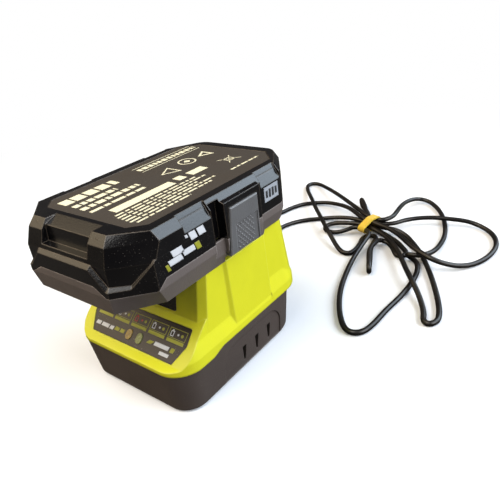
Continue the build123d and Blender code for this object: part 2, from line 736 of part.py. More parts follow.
with BuildPart() as ridge_window:
    add(front_prism([
        (-60, pack_corner_seam_z), (60, pack_corner_seam_z), (60, ridge_side_z), (38.2, ridge_side_z),
        (31.5, ridge_low_z), (25.0, ridge_low_z), (17.0, ridge_high_z), (-17.0, ridge_high_z),
        (-25.0, ridge_low_z), (-31.5, ridge_low_z), (-38.2, ridge_side_z), (-60, ridge_side_z),
    ], pack_front_y - 5, pack_rear_y + 5))

with BuildPart() as bumper:
    loft(sections=[level_section(pack_bumper), level_section(pack_bumper, height=ridge_side_z + 1)],
         ruled=True)
    add(ridge_window.part, mode=Mode.INTERSECT)
    chamfer(bumper.edges().filter_by(
        lambda edge: edge.center().Z > ridge_low_z - 0.1 and edge.center().Y < pack_front_y + 12.4
    ), ridge_bevel)

bulge_profile = [
    (pack_half - 3, pack_floor_z + 2.7), (bulge_x - 0.9, pack_floor_z + 2.7), (bulge_x, pack_floor_z + 8.7),
    (bulge_x, bulge_top_z), (pack_half - 3, pack_top_z - 1.9),
]

with BuildPart() as pack_form:
    loft(sections=[level_section(pack_foot), level_section(pack_bumper)], ruled=True)
    loft(sections=[level_section(pack_waist), level_section(pack_waist, height=ridge_high_z)], ruled=True)
    loft(sections=[level_section(pack_waist, height=ridge_high_z), level_section(pack_shoulder)], ruled=True)
    loft(sections=[level_section(pack_shoulder), level_section(pack_rim)], ruled=True)
    add(bumper.part)
    with BuildPart(mode=Mode.PRIVATE) as bulges:
        add(front_prism(bulge_profile, bulge_y[0], bulge_y[1]))
        mirror(about=Plane.YZ)
    add(bulges.part)

with BuildPart() as pack_cavity:
    loft(sections=[
        level_section(pack_foot, pack_wall, pack_floor_z + pack_wall),
        level_section(pack_waist, pack_wall),
    ], ruled=True)
    loft(sections=[
        level_section(pack_waist, pack_wall), level_section(pack_waist, pack_wall, ridge_high_z),
    ], ruled=True)
    loft(sections=[
        level_section(pack_waist, pack_wall, ridge_high_z),
        level_section(pack_shoulder, pack_wall + 0.6, pack_top_z - pack_wall),
    ], ruled=True)
    add(level_box((-60, 60), (rear_step_y - pack_wall, 80), (0, pack_floor_z + rear_step + pack_wall)),
        mode=Mode.SUBTRACT)
    # the wall round the notch at the front
    add(side_prism([
        (notch_rear_y + notch_wall, pack_top_z), (notch_face_y + 0.7 + notch_wall, notch_edge_z - notch_wall),
        (notch_face_y + notch_wall, notch_floor_z - notch_wall), (-80, notch_floor_z - notch_wall),
        (-80, pack_top_z),
    ], notch_half + notch_wall), mode=Mode.SUBTRACT)

# The joint of the two shells: level, with a dip round each front corner.
with BuildPart() as under_seam:
    add(level_box((-60, 60), (-80, 80), (0, pack_seam_z)))
    with BuildPart(mode=Mode.PRIVATE) as corner_dip:
        add(front_prism([
            (17.5, pack_seam_z), (24.0, pack_corner_seam_z), (60, pack_corner_seam_z),
            (60, 120), (17.5, 120),
        ], -80, 0))
        mirror(about=Plane.YZ)
        add(side_prism([
            (-80, pack_corner_seam_z), (pack_front_y + 12.9, pack_corner_seam_z),
            (pack_front_y + 17.8, pack_seam_z), (pack_front_y + 17.8, 120), (-80, 120),
        ], 60), mode=Mode.INTERSECT)
    add(corner_dip.part, mode=Mode.SUBTRACT)

window_profile = [
    (button_foot_y[0] - latch_gap, latch_bottom_z), (button_foot_y[0] - latch_gap, 55),
    (button_foot_y[1] + latch_gap, 55), (button_foot_y[1] + latch_gap, latch_bottom_z),
    (button_head_y[1] + latch_gap, latch_top_z + latch_gap),
    (button_head_y[0] - latch_gap, latch_top_z + latch_gap),
]
with BuildPart() as latch_windows:
    add(side_prism(window_profile, 60))
    add(level_box((-window_inner_x, window_inner_x), (-80, 80), (0, 120)), mode=Mode.SUBTRACT)

# ---------------------------------------------------------------- pack, black shell
with BuildPart() as pack_upper_shell:
    add(pack_form.part)
    add(under_seam.part, mode=Mode.SUBTRACT)
    add(pack_cavity.part, mode=Mode.SUBTRACT)
    with BuildPart(mode=Mode.PRIVATE) as inner_ribs:
        for side in (-1, 1):
            # thicker wall behind the dark groove, and the seat of the latch spring
            add(level_box(sorted((side * (groove_x - 2), side * (pack_half - 1))),
                          (groove_y[0] - 2, groove_y[1] + 2), (pack_seam_z, pack_top_z - 2)))
            add(level_box(sorted((side * spring_seat_x, side * (spring_seat_x - 2))),
                          (latch_mid_y - 5.5, latch_mid_y + 5.5), (spring_z - 5, pack_top_z - 2)))
        add(pack_form.part, mode=Mode.INTERSECT)
    add(inner_ribs.part)
    with Locations(*[(x, y, pack_seam_z) for x, y in pack_screw_places]):
        Cylinder(pack_boss_radius, pack_top_z - 1.5 - pack_seam_z,
                 align=(Align.CENTER, Align.CENTER, Align.MIN))
    with Locations(*[(x, y, pack_seam_z) for x, y in pack_screw_places]):
        Cylinder(pack_screw_radius, 2 * (pack_screw_tip_z + 0.5 - pack_seam_z), mode=Mode.SUBTRACT)
    add(latch_windows.part, mode=Mode.SUBTRACT)
    for side in (-1, 1):
        add(level_box(sorted((side * groove_x, side * 60)), groove_y, (pack_seam_z - 1, groove_top_z)),
            mode=Mode.SUBTRACT)
    for scallop_y in scallops_y:
        with BuildPart(mode=Mode.PRIVATE) as scallop:
            add(front_prism([
                (pack_half - 4.0, pack_top_z + 0.01), (pack_half + 0.01, scallop_low_z), (60, scallop_low_z),
                (60, pack_top_z + 5), (pack_half - 4.0, pack_top_z + 5),
            ], scallop_y[0], scallop_y[1]))
            add(side_prism([
                (scallop_y[0] - 1, pack_top_z + 5), (scallop_y[0] - 1, pack_top_z), (scallop_y[0] + 2.2, 80),
                (scallop_y[1] + 1, 80), (scallop_y[1] + 1, pack_top_z + 5),
            ], 60), mode=Mode.INTERSECT)
            mirror(about=Plane.YZ)
        add(scallop.part, mode=Mode.SUBTRACT)
    # the notch at the front of the label face
    with BuildPart(mode=Mode.PRIVATE) as nose_notch:
        add(side_prism([
            (notch_rear_y, pack_top_z), (notch_face_y + 0.7, notch_edge_z), (notch_face_y, notch_floor_z),
            (-80, notch_floor_z), (-80, pack_top_z + 5), (notch_rear_y, pack_top_z + 5),
        ], notch_half))
    add(nose_notch.part, mode=Mode.SUBTRACT)
    with BuildSketch(Plane.XY.offset(pack_top_z)) as label_outline:
        with Locations((0, (label_y[0] + label_y[1]) / 2)):
            Rectangle(2 * label_half, label_y[1] - label_y[0])
        chamfer(label_outline.vertices().group_by(Axis.Y)[0], label_front_cut)
        chamfer(label_outline.vertices().group_by(Axis.Y)[-1], label_rear_cut)
    extrude(amount=-label_recess, mode=Mode.SUBTRACT)
pack_upper_shell.part.label = "pack_upper_shell"
export_step(pack_upper_shell.part, "parts/pack_upper_shell.step")

with BuildPart() as pack_label:
    with BuildSketch(Plane.XY.offset(pack_top_z - label_recess)) as label_shape:
        with Locations((0, (label_y[0] + label_y[1]) / 2)):
            Rectangle(2 * label_half, label_y[1] - label_y[0])
        chamfer(label_shape.vertices().group_by(Axis.Y)[0], label_front_cut)
        chamfer(label_shape.vertices().group_by(Axis.Y)[-1], label_rear_cut)
        offset(amount=-0.15)
    extrude(amount=label_thick)
pack_label.part.label = "pack_label"
export_step(pack_label.part, "parts/pack_label.step")

# ---------------------------------------------------------------- pack, grey shell
with BuildPart() as stem_block:
    add(level_box((-stem_half_x, stem_half_x), (stem_front_y, stem_rear_y), (stem_bottom_z, pack_floor_z + 1)))
    fillet(stem_block.edges().filter_by(Axis.Z), stem_corner)
    chamfer(stem_block.edges().group_by(Axis.Z)[0], 1.0)

with BuildPart() as stem_bore:
    add(level_box(
        (-stem_half_x + stem_wall, stem_half_x - stem_wall),
        (stem_front_y + stem_wall, stem_rear_y - stem_wall),
        (stem_bottom_z + stem_wall, pack_floor_z + rear_step + pack_wall + 1),
    ))
    fillet(stem_bore.edges().filter_by(Axis.Z), stem_corner - stem_wall)

with BuildPart() as pack_lower_shell:
    add(pack_form.part)
    add(under_seam.part, mode=Mode.INTERSECT)
    add(level_box((-60, 60), (rear_step_y, 80), (0, pack_floor_z + rear_step)), mode=Mode.SUBTRACT)
    add(stem_block.part)
    add(pack_cavity.part, mode=Mode.SUBTRACT)
    for x, y in pack_screw_places:
        boss_foot_z = pack_floor_z + 1 + (rear_step if y > rear_step_y else 0)
        with Locations((x, y, boss_foot_z)):
            Cylinder(pack_boss_radius, pack_seam_z - boss_foot_z,
                     align=(Align.CENTER, Align.CENTER, Align.MIN))
    add(stem_bore.part, mode=Mode.SUBTRACT)
    with Locations(*[(x, y, 0) for x, y in pack_screw_places]):
        Cylinder(pack_screw_radius + 0.2, 200, mode=Mode.SUBTRACT)
        Cylinder(pack_head_radius + 0.2, 2 * pack_head_z, mode=Mode.SUBTRACT)
    with Locations(*[(x, blade_mid_y, stem_bottom_z) for x in blade_x]):
        Box(blade_thick + 1.4, blade_width + 1.6, 3 * stem_wall, mode=Mode.SUBTRACT)
    add(latch_windows.part, mode=Mode.SUBTRACT)
    for side in (-1, 1):
        add(level_box(
            sorted((side * (stem_half_x + 1.0), side * (latch_hook_x + 0.4))),
            (latch_mid_y - latch_arm_half - latch_gap, latch_mid_y + latch_arm_half + latch_gap),
            (pack_floor_z - 1, pack_floor_z + pack_wall + 1),
        ), mode=Mode.SUBTRACT)
        add(level_box(sorted((side * (pack_half - 1.1), side * 60)), groove_y,
                      (pack_floor_z + 2.2, pack_seam_z + 1)), mode=Mode.SUBTRACT)
pack_lower_shell.part.label = "pack_lower_shell"
export_step(pack_lower_shell.part, "parts/pack_lower_shell.step")

# ---------------------------------------------------------------- latches
with BuildPart() as latch_right:
    with BuildPart(mode=Mode.PRIVATE) as button:
        add(side_prism([
            (button_foot_y[0], latch_bottom_z), (button_foot_y[1], latch_bottom_z),
            (button_head_y[1], latch_top_z), (button_head_y[0], latch_top_z),
        ], latch_face_x))
        add(level_box((-80, latch_face_x - latch_thick), (-80, 80), (0, 120)), mode=Mode.SUBTRACT)
        chamfer(button.faces().sort_by(Axis.X)[-1].edges(), 0.5)
        add(side_prism([
            (button_foot_y[0] + 3.7, latch_bottom_z - 5), (button_foot_y[1] - 1.3, latch_bottom_z - 5),
            (button_head_y[1] - 1.3, grip_top_z), (button_head_y[0] + 2.3, grip_top_z),
        ], 60).intersect(level_box((latch_face_x - grip_depth, 80), (-80, 80), (0, 120))),
            mode=Mode.SUBTRACT)
    add(button.part)
    add(level_box((latch_arm_x, latch_face_x - latch_thick + 0.2),
                  (latch_mid_y - latch_arm_half, latch_mid_y + latch_arm_half), latch_web_z))
    add(level_box((latch_arm_x, latch_arm_x + latch_arm_thick),
                  (latch_mid_y - latch_arm_half, latch_mid_y + latch_arm_half),
                  (latch_arm_bottom_z, latch_web_z[1])))
    add(front_prism([
        (latch_arm_x + latch_arm_thick - 0.2, latch_arm_bottom_z),
        (latch_arm_x + latch_arm_thick, latch_arm_bottom_z),
        (latch_hook_x, latch_arm_bottom_z + 2.0), (latch_hook_x, latch_arm_bottom_z + 3.0),
        (latch_arm_x + latch_arm_thick - 0.2, latch_arm_bottom_z + 3.0),
    ], latch_mid_y - latch_arm_half, latch_mid_y + latch_arm_half))
latch_right.part.label = "latch_right"
export_step(latch_right.part, "parts/latch_right.step")

with BuildPart() as latch_left:
    mirror(objects=latch_right.part, about=Plane.YZ)
latch_left.part.label = "latch_left"
export_step(latch_left.part, "parts/latch_left.step")

spring_length = latch_face_x - latch_thick - spring_seat_x
for spring_name, side in (("latch_spring_left", -1), ("latch_spring_right", 1)):
    with BuildPart() as spring:
        with BuildSketch(Plane(origin=(side * spring_seat_x, latch_mid_y, spring_z), z_dir=(side, 0, 0))):
            Circle(spring_radius)
            Circle(spring_radius - 1.0, mode=Mode.SUBTRACT)
        extrude(amount=spring_length)
    spring.part.label = spring_name
    export_step(spring.part, "parts/" + spring_name + ".step")

# ---------------------------------------------------------------- pack, inside
with BuildPart() as cells:
    with Locations(*[(0, y, cell_z) for y in cell_rows]):
        Cylinder(cell_radius, cell_length, rotation=(0, 90, 0))
    with Locations((0, stem_cell_y, stem_cell_z)):
        Cylinder(cell_radius, cell_length, align=(Align.CENTER, Align.CENTER, Align.MIN))
cells.part.label = "cells"
export_step(cells.part, "parts/cells.step")

holder_z = pack_floor_z + rear_step + pack_wall
leaf_y = (blade_mid_y - 2.5, blade_mid_y + 2.5)
with BuildPart() as cell_holder:
    cradle_reach = cell_radius + holder_gap
    floor_span = (holder_z, holder_z + holder_floor)
    add(level_box((-holder_spine_half, holder_spine_half),
                  (cell_rows[0] - cradle_reach, cell_rows[-1] + cradle_reach), floor_span))
    for first, last in ((cell_rows[0], cell_rows[1]), (cell_rows[2], cell_rows[3])):
        cradle_y = (first - cradle_reach, last + cradle_reach)
        add(level_box((-holder_x, holder_x), cradle_y, floor_span))
        for side in (-1, 1):
            add(level_box(sorted((side * holder_x, side * (holder_x - holder_rib))),
                          cradle_y, (holder_z, cell_z + cell_radius)))
    with Locations(*[(0, y, cell_z) for y in cell_rows]):
        Cylinder(cell_radius + 0.1, cell_length + 4, rotation=(0, 90, 0), mode=Mode.SUBTRACT)
    with Locations((0, stem_cell_y, stem_cell_z - 1.3)):
        Cylinder(cell_radius + 1.2, holder_z - stem_cell_z + 1.3,
                 align=(Align.CENTER, Align.CENTER, Align.MIN))
    add(level_box((-carrier_half, carrier_half), (stem_front_y + stem_wall + 0.2, stem_cell_y - cell_radius),
                  (carrier_z, carrier_z + carrier_high)))
    for side in (-1, 1):
        add(level_box(sorted((side * board_rib_x[0], side * board_rib_x[1])),
                      (stem_cell_y, pack_board_y), board_rib_z))
    with Locations((0, stem_cell_y, stem_cell_z)):
        Cylinder(cell_radius + 0.1, 60, align=(Align.CENTER, Align.CENTER, Align.MIN), mode=Mode.SUBTRACT)
    # flat in front of the sleeve, clear of the terminals
    add(level_box((-carrier_half, carrier_half), (stem_front_y, leaf_y[1] + 0.4), (0, carrier_z)),
        mode=Mode.SUBTRACT)
cell_holder.part.label = "cell_holder"
export_step(cell_holder.part, "parts/cell_holder.step")

with BuildPart() as cell_links:
    for first, last in ((cell_rows[0], cell_rows[1]), (cell_rows[2], cell_rows[3])):
        for side in (-1, 1):
            add(level_box(sorted((side * cell_length / 2, side * (cell_length / 2 + link_thick))),
                          (first - link_half, last + link_half), (cell_z - link_half, cell_z + link_half)))
    add(level_box((-link_half, link_half), (stem_cell_y - link_half, stem_cell_y + link_half),
                  (stem_cell_z + cell_length, stem_cell_z + cell_length + link_thick)))
cell_links.part.label = "cell_links"
export_step(cell_links.part, "parts/cell_links.step")

with BuildPart() as pack_board:
    add(level_box((-pack_board_half, pack_board_half),
                  (pack_board_y, pack_board_y + pack_board_thick), pack_board_z))
pack_board.part.label = "pack_board"
export_step(pack_board.part, "parts/pack_board.step")

with BuildPart() as pack_terminals:
    leaf_in = blade_thick / 2 + 0.2
    leaf_thick = 0.5
    for x in blade_x:
        add(level_box((x - leaf_in - leaf_thick, x + leaf_in + leaf_thick), leaf_y,
                      (stem_bottom_z + stem_wall + 0.6, carrier_z)))
        add(level_box((x - leaf_in, x + leaf_in), leaf_y,
                      (stem_bottom_z, carrier_z - 0.8)), mode=Mode.SUBTRACT)
pack_terminals.part.label = "pack_terminals"
export_step(pack_terminals.part, "parts/pack_terminals.step")

with BuildPart() as pack_screws:
    with Locations(*[(x, y, pack_head_z) for x, y in pack_screw_places]):
        Cylinder(pack_head_radius, pack_head_high, align=(Align.CENTER, Align.CENTER, Align.MAX))
        Cylinder(pack_screw_radius, pack_screw_tip_z - pack_head_z,
                 align=(Align.CENTER, Align.CENTER, Align.MIN))
pack_screws.part.label = "pack_screws"
export_step(pack_screws.part, "parts/pack_screws.step")

# ---------------------------------------------------------------- mains cord
cord_radius = 1.6
cord_floor_z = cord_radius + 0.2
cord_route = [
    # from the charger down to the table and back to the tie
    (0, 50, 13.5), (0, 76, 13.5), (-6, 95, 10.6), (-16, 108, 4.8), (-26, 117, cord_floor_z),
    (-34, 126.5, cord_floor_z), (-37.5, 138, cord_floor_z), (-34.5, 149.5, cord_floor_z),
    (-27, 159.5, cord_floor_z), (-17, 166.4, cord_floor_z), (-5.5, 169.8, 3.5), (6.5, 169.6, 5.4),
    # through the tie
    (19.7, 166.9, 6.1), (34.9, 161.9, 6.1),
    # the long narrow loop in front
    (44, 166, 4.6), (52.8, 164, 2.3), (60.8, 155.8, cord_floor_z), (69.2, 145.7, cord_floor_z),
    (76.9, 134.3, cord_floor_z), (84.3, 122, cord_floor_z), (91, 109.9, cord_floor_z),
    (97.2, 97.4, cord_floor_z), (101.2, 88.2, cord_floor_z), (103.2, 81.6, cord_floor_z),
    (103.6, 77.2, cord_floor_z), (101.4, 73.2, cord_floor_z), (97.4, 74, cord_floor_z),
    (95, 82, cord_floor_z), (90.4, 90.4, 2.2), (85, 98, 3.8), (78.9, 105.2, 5.8), (72, 114.4, 6.1),
    (63.8, 126.8, 6.1), (54.8, 139.4, 6.1), (44.5, 149.5, 6.1),
    # back through the tie
    (33.3, 157.1, 6.1), (18.1, 162.1, 6.1),
    # small loop beside the tie
    (7, 160.8, 5), (-2.2, 160.6, 3.2), (-7, 155.6, 2.2), (-4, 149.6, cord_floor_z), (4.5, 147.8, 2),
    (12.6, 151.2, 4.2),
    # through the tie
    (17.4, 157.2, 6.1), (31.8, 152.4, 6.1),
    # the wide front loop
    (33.2, 138, 5.8), (34.2, 120, 2.8), (38.6, 100.2, cord_floor_z), (44.4, 81.9, cord_floor_z),
    (51.9, 66.1, cord_floor_z), (60, 53.5, cord_floor_z), (67, 47.2, cord_floor_z),
    (73.6, 49.6, cord_floor_z), (76, 58.5, cord_floor_z), (76.3, 74.5, cord_floor_z),
    (78.2, 90, cord_floor_z), (78.4, 104.2, cord_floor_z), (77.6, 115.5, cord_floor_z),
    (75.4, 125, cord_floor_z), (72, 132.4, cord_floor_z), (67.2, 136.2, cord_floor_z),
    # folded over itself, then round the back loop
    (64.4, 134.6, 4.3), (67, 131.6, 6.7), (72.4, 132.2, 6.8), (76.6, 137.6, 6.1), (78.2, 146.5, 4.5),
    (77.6, 158.6, 2.6), (76, 173.2, cord_floor_z), (71.4, 188.9, cord_floor_z),
    (63.6, 206.5, cord_floor_z), (54.5, 219.8, 2), (44.7, 227.8, 2.7), (36, 224.6, 4.3),
    (33.1, 211.5, 6.1), (34.6, 197, 8.1), (37, 184, 9.3), (38.4, 172.8, 10),
    # through the tie
    (32.7, 165.2, 9.5), (20.5, 169.2, 9.5),
    # the long left loop
    (8.6, 178.6, 9.5), (-6.9, 191.4, 8.6), (-24.7, 207.4, 6.1), (-42.5, 222, 3.6), (-54.8, 230.4, 2.2),
    (-61.6, 231.4, cord_floor_z), (-64.4, 225.8, cord_floor_z), (-59.8, 217, cord_floor_z),
    (-50, 204.4, 3.1), (-39, 190.2, 5.8), (-25.6, 173.6, 6.5), (-12.5, 159.4, 6.1), (-0.9, 146.2, 6.1),
    (8.1, 137.4, 4.5), (16, 130, 2.6), (23, 124.4, cord_floor_z), (28.8, 124.8, cord_floor_z),
    (30, 131.4, cord_floor_z), (28.6, 140.6, cord_floor_z),
    # turned under the bundle
    (26.4, 148.6, cord_floor_z), (28.2, 155.4, cord_floor_z), (34.4, 155.4, cord_floor_z),
    (36.2, 147.8, cord_floor_z),
    # the short upright loop
    (37.6, 139.4, cord_floor_z), (41.2, 130.4, cord_floor_z), (44.8, 122.4, cord_floor_z),
    (48, 114.2, cord_floor_z), (50.7, 108.1, cord_floor_z), (51.5, 106.3, 4.3), (50.7, 108.1, 6.8),
    (47.4, 115.2, 7.1), (43.6, 123.2, 6.9), (41, 131.4, 6.4), (40.2, 138.8, 5.5), (39.5, 145.4, 4.5),
    (41.4, 149.8, 2.8), (46.6, 148.8, 1.9),
    # the short loop under the others
    (51.8, 142.9, cord_floor_z), (56.8, 135.2, cord_floor_z), (61.4, 136.3, cord_floor_z),
    (62.4, 140.9, cord_floor_z), (56.6, 147.4, cord_floor_z), (50.2, 153.6, cord_floor_z),
    (42.2, 158.8, cord_floor_z),
    # under the tie
    (33.6, 163.4, cord_floor_z), (25.6, 169.4, cord_floor_z), (17.4, 180.4, cord_floor_z),
    (10.4, 191.6, cord_floor_z),
    # the stub behind the tie
    (3.8, 198, cord_floor_z), (-0.6, 203.9, cord_floor_z), (-1.7, 205.2, 4.1), (-0.6, 203.9, 6.4),
    (3.6, 198.6, 6.6), (9.4, 189.6, 6.6), (14.8, 180.4, 6.3),
    # through the tie
    (21.2, 171.6, 6.1), (33.5, 167.5, 6.1),
    # the large right loop
    (40.5, 171.5, 6.1), (45.5, 179.5, 6.4), (54, 186.3, 6.8), (63.5, 190.6, 6.8), (74, 193.2, 6.4),
    (83.6, 197.2, 4.9), (92.2, 197.6, 2.8), (100.4, 192.6, 1.9), (106.4, 183.4, cord_floor_z),
    (109.4, 171.4, cord_floor_z), (108.6, 157.3, cord_floor_z), (104.1, 145.1, cord_floor_z),
    (97.4, 136.8, 2.8), (90.4, 130.2, 6.1), (83, 127.2, 9.2), (74.6, 130.7, 10.3), (64.2, 138.2, 10.3),
    (54.3, 147.9, 10.1), (43.6, 155.4, 10),
    # through the tie
    (34.1, 159.5, 9.4), (18.9, 164.5, 9.4),
    # away to the plug
    (4.3, 177, 9.2), (-9.5, 186, 6.9), (-25, 193.4, 3.4), (-36.4, 192.3, 2), (-45.3, 186, cord_floor_z),
    (-50.4, 175, cord_floor_z), (-52.5, 162, cord_floor_z), (-58, 147.5, cord_floor_z),
    (-67, 135.5, 2.6), (-76.2, 124.5, 7.0), (-82, 112, 12), (-82, 99, 12),
]


def bend_radii(points):
    """Radius of each bend: what nearly half of its shorter run leaves room for."""
    radii = []
    for before, corner, after in zip(points, points[1:], points[2:]):
        run_in = Vector(*corner) - Vector(*before)
        run_out = Vector(*after) - Vector(*corner)
        half_turn = math.radians(run_in.get_angle(run_out) / 2)
        radii.append(0.45 * min(run_in.length, run_out.length) / math.tan(half_turn))
    return radii


cord_bends = bend_radii(cord_route)
print("cord bend radii", [round(radius, 1) for radius in cord_bends])

with BuildPart() as mains_cord:
    with BuildLine():
        cord_line = FilletPolyline(*cord_route, radius=cord_bends)
    with BuildSketch(Plane(origin=cord_line @ 0, z_dir=cord_line % 0)):
        Circle(cord_radius)
    sweep()
print("cord length", round(cord_line.length))
mains_cord.part.label = "mains_cord"
export_step(mains_cord.part, "parts/mains_cord.step")

relief_flange_radius = 5.5
relief_flange_thick = 1.5
relief_collar_radius = 5.2
relief_sleeve_radii = (4.3, 3.0)
relief_tip_y = 74.0
relief_grooves = 5
relief_groove_width = 1.2
relief_groove_depth = 0.8
relief_wall_y = base_rear_y + 0.8 * (relief_z - seam_base_z) / (seam_side_z - seam_base_z)
relief_gap = 0.25
relief_flange_y = relief_wall_y - tray_wall - relief_gap
relief_collar_y = relief_wall_y + relief_gap

with BuildPart() as strain_relief:
    with BuildSketch(Plane.YZ):
        with BuildLine():
            Polyline(
                (relief_flange_y - relief_flange_thick, relief_z),
                (relief_flange_y - relief_flange_thick, relief_z + relief_flange_radius),
                (relief_flange_y, relief_z + relief_flange_radius),
                (relief_flange_y, relief_z + relief_neck_radius),
                (relief_collar_y, relief_z + relief_neck_radius),
                (relief_collar_y, relief_z + relief_collar_radius),
                (relief_collar_y + relief_flange_thick, relief_z + relief_collar_radius),
                (relief_collar_y + relief_flange_thick, relief_z + relief_sleeve_radii[0]),
                (relief_tip_y, relief_z + relief_sleeve_radii[1]),
                (relief_tip_y, relief_z),
                close=True,
            )
        make_face()
    revolve(axis=Axis((0, 0, relief_z), (0, 1, 0)))
    groove_pitch = (relief_tip_y - relief_collar_y - 5.0) / relief_grooves
    with Locations(*[(0, relief_collar_y + 4.0 + groove_pitch * step, relief_z)
                     for step in range(relief_grooves)]):
        with BuildPart(mode=Mode.PRIVATE) as groove_ring:
            Cylinder(relief_collar_radius, relief_groove_width, rotation=(90, 0, 0))
            Cylinder(relief_sleeve_radii[1] - 0.4, 3 * relief_groove_width, rotation=(90, 0, 0),
                     mode=Mode.SUBTRACT)
        add(groove_ring.part, mode=Mode.SUBTRACT)
    with Locations((0, relief_tip_y, relief_z)):
        Cylinder(cord_radius + 0.05, 80, rotation=(90, 0, 0), mode=Mode.SUBTRACT)
strain_relief.part.label = "strain_relief"
export_step(strain_relief.part, "parts/strain_relief.step")

# The band goes round six strands: places along the band's plane, and heights.
tie_plane = Plane(origin=(26.5, 162.0, 0), x_dir=(0.31, 0.95, 0), z_dir=(0.95, -0.31, 0))
tie_strands = [(-7.5, 6.1), (7.5, 6.1), (0, 9.4), (5.0, 9.5)]
tie_width = 5.5
tie_thick = 1.2
tie_squeeze = 0.05             # the elastic presses into the cord
with BuildSketch(Plane.XY) as band_inside:
    with Locations(*tie_strands):
        Circle(cord_radius - tie_squeeze)
    make_hull()

with BuildPart() as cord_tie:
    with BuildSketch(tie_plane):
        add(band_inside.sketch_local)
        offset(amount=tie_thick)
        add(band_inside.sketch_local, mode=Mode.SUBTRACT)
    extrude(amount=tie_width / 2, both=True)
cord_tie.part.label = "cord_tie"
export_step(cord_tie.part, "parts/cord_tie.step")

# The plug lies behind the pack with its pins towards the front.
plug_x, plug_rear_y, plug_z = cord_route[-1]
plug_width = 34.0
plug_height = 2 * plug_z
plug_depth = 30.0
plug_corner = 8.0
plug_neck_share = 0.65         # size of the plug's back against its front
plug_taper_depth = 18.0
plug_sleeve_length = 8.0
plug_sleeve_radii = (5.0, 3.4)
pin_length = 17.0
pin_wide = 6.3
pin_thick = 1.6
pin_spread = 6.9               # middle of each pin from the plug's middle
pin_lean = 30
plug_plane = Plane(origin=(plug_x, plug_rear_y, plug_z), x_dir=(1, 0, 0), z_dir=(0, -1, 0))
with BuildPart() as mains_plug:
    with BuildSketch(plug_plane):
        RectangleRounded(plug_neck_share * plug_width, plug_neck_share * plug_height,
                         plug_neck_share * plug_corner)
    with BuildSketch(plug_plane.offset(plug_taper_depth)) as plug_face:
        RectangleRounded(plug_width, plug_height, plug_corner)
    loft()
    extrude(plug_face.sketch, amount=plug_depth - plug_taper_depth)
    chamfer(mains_plug.edges().group_by(Axis.Y)[0], 1.0)
    with Locations(plug_plane.offset(-plug_sleeve_length)):
        Cone(plug_sleeve_radii[1], plug_sleeve_radii[0], plug_sleeve_length,
             align=(Align.CENTER, Align.CENTER, Align.MIN))
        Cylinder(cord_radius + 0.05, plug_sleeve_length,
                 align=(Align.CENTER, Align.CENTER, Align.MIN), mode=Mode.SUBTRACT)
mains_plug.part.label = "mains_plug"
export_step(mains_plug.part, "parts/mains_plug.step")

with BuildPart() as plug_pins:
    with BuildSketch(plug_plane.offset(plug_depth)):
        for side in (-1, 1):
            with Locations(Location((side * pin_spread, 0), side * pin_lean)):
                Rectangle(pin_thick, pin_wide)
    extrude(amount=pin_length)
    chamfer(plug_pins.edges().group_by(Axis.Y)[0], 0.4)
plug_pins.part.label = "plug_pins"
export_step(plug_pins.part, "parts/plug_pins.step")
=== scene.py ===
# %% [markdown]
# # A tool battery charger with its pack docked
#
# The solids of the charger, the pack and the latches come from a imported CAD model, which is the
# fixed frame of this scene. What is added here is everything that a solid model leaves plain:
# materials, printing, the grip dots, the coil springs and a cord that lies as a real one does.
# Lengths below are written in millimetres, as on the drawing, and MM turns them into metres.

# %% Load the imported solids
import math

import bmesh
import bpy
from mathutils import Matrix, Vector


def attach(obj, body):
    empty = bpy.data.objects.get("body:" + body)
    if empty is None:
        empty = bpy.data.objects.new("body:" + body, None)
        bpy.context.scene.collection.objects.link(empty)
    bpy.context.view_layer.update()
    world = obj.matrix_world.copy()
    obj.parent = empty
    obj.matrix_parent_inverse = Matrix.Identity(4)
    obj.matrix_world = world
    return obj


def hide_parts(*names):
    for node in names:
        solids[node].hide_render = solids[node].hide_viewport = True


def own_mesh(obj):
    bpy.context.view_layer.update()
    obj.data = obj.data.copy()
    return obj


MM = 0.001
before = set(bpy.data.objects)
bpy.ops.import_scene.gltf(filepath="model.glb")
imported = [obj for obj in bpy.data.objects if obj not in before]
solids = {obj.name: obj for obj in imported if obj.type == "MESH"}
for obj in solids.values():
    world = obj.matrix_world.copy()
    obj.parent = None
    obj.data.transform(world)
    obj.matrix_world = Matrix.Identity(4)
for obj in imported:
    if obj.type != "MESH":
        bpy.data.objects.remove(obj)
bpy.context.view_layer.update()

# %% [markdown]
# ## The camera
#
# The charger is seen from above its right front corner. A camera can be aimed with a constraint,
# but writing its three axes into a matrix keeps the small sideways lean that the view has, and
# leaves nothing live in the file. The lean turns the level right and up axes about the line of
# sight.

# %% The camera
view_azimuth = math.radians(40.03)
view_elevation = math.radians(27.34)
view_lean = math.radians(-7.08)
view_place = Vector((171.09, -147.68, 168.99)) * MM
view_lens = 36.68

back = Vector((math.sin(view_azimuth) * math.cos(view_elevation),
               -math.cos(view_azimuth) * math.cos(view_elevation),
               math.sin(view_elevation)))
level_right = Vector((math.cos(view_azimuth), math.sin(view_azimuth), 0))
level_up = back.cross(level_right)
right = level_right * math.cos(view_lean) + level_up * math.sin(view_lean)
up = level_up * math.cos(view_lean) - level_right * math.sin(view_lean)

camera_data = bpy.data.cameras.new("view_camera")
camera_data.lens = view_lens
camera_data.sensor_width = 36
camera_data.clip_start = 0.01
camera = bpy.data.objects.new("view_camera", camera_data)
camera.matrix_world = Matrix((
    (right.x, up.x, back.x, view_place.x),
    (right.y, up.y, back.y, view_place.y),
    (right.z, up.z, back.z, view_place.z),
    (0, 0, 0, 1),
))
bpy.context.scene.collection.objects.link(camera)
bpy.context.scene.camera = camera
print("camera is", round(view_place.length, 3), "m from the origin")

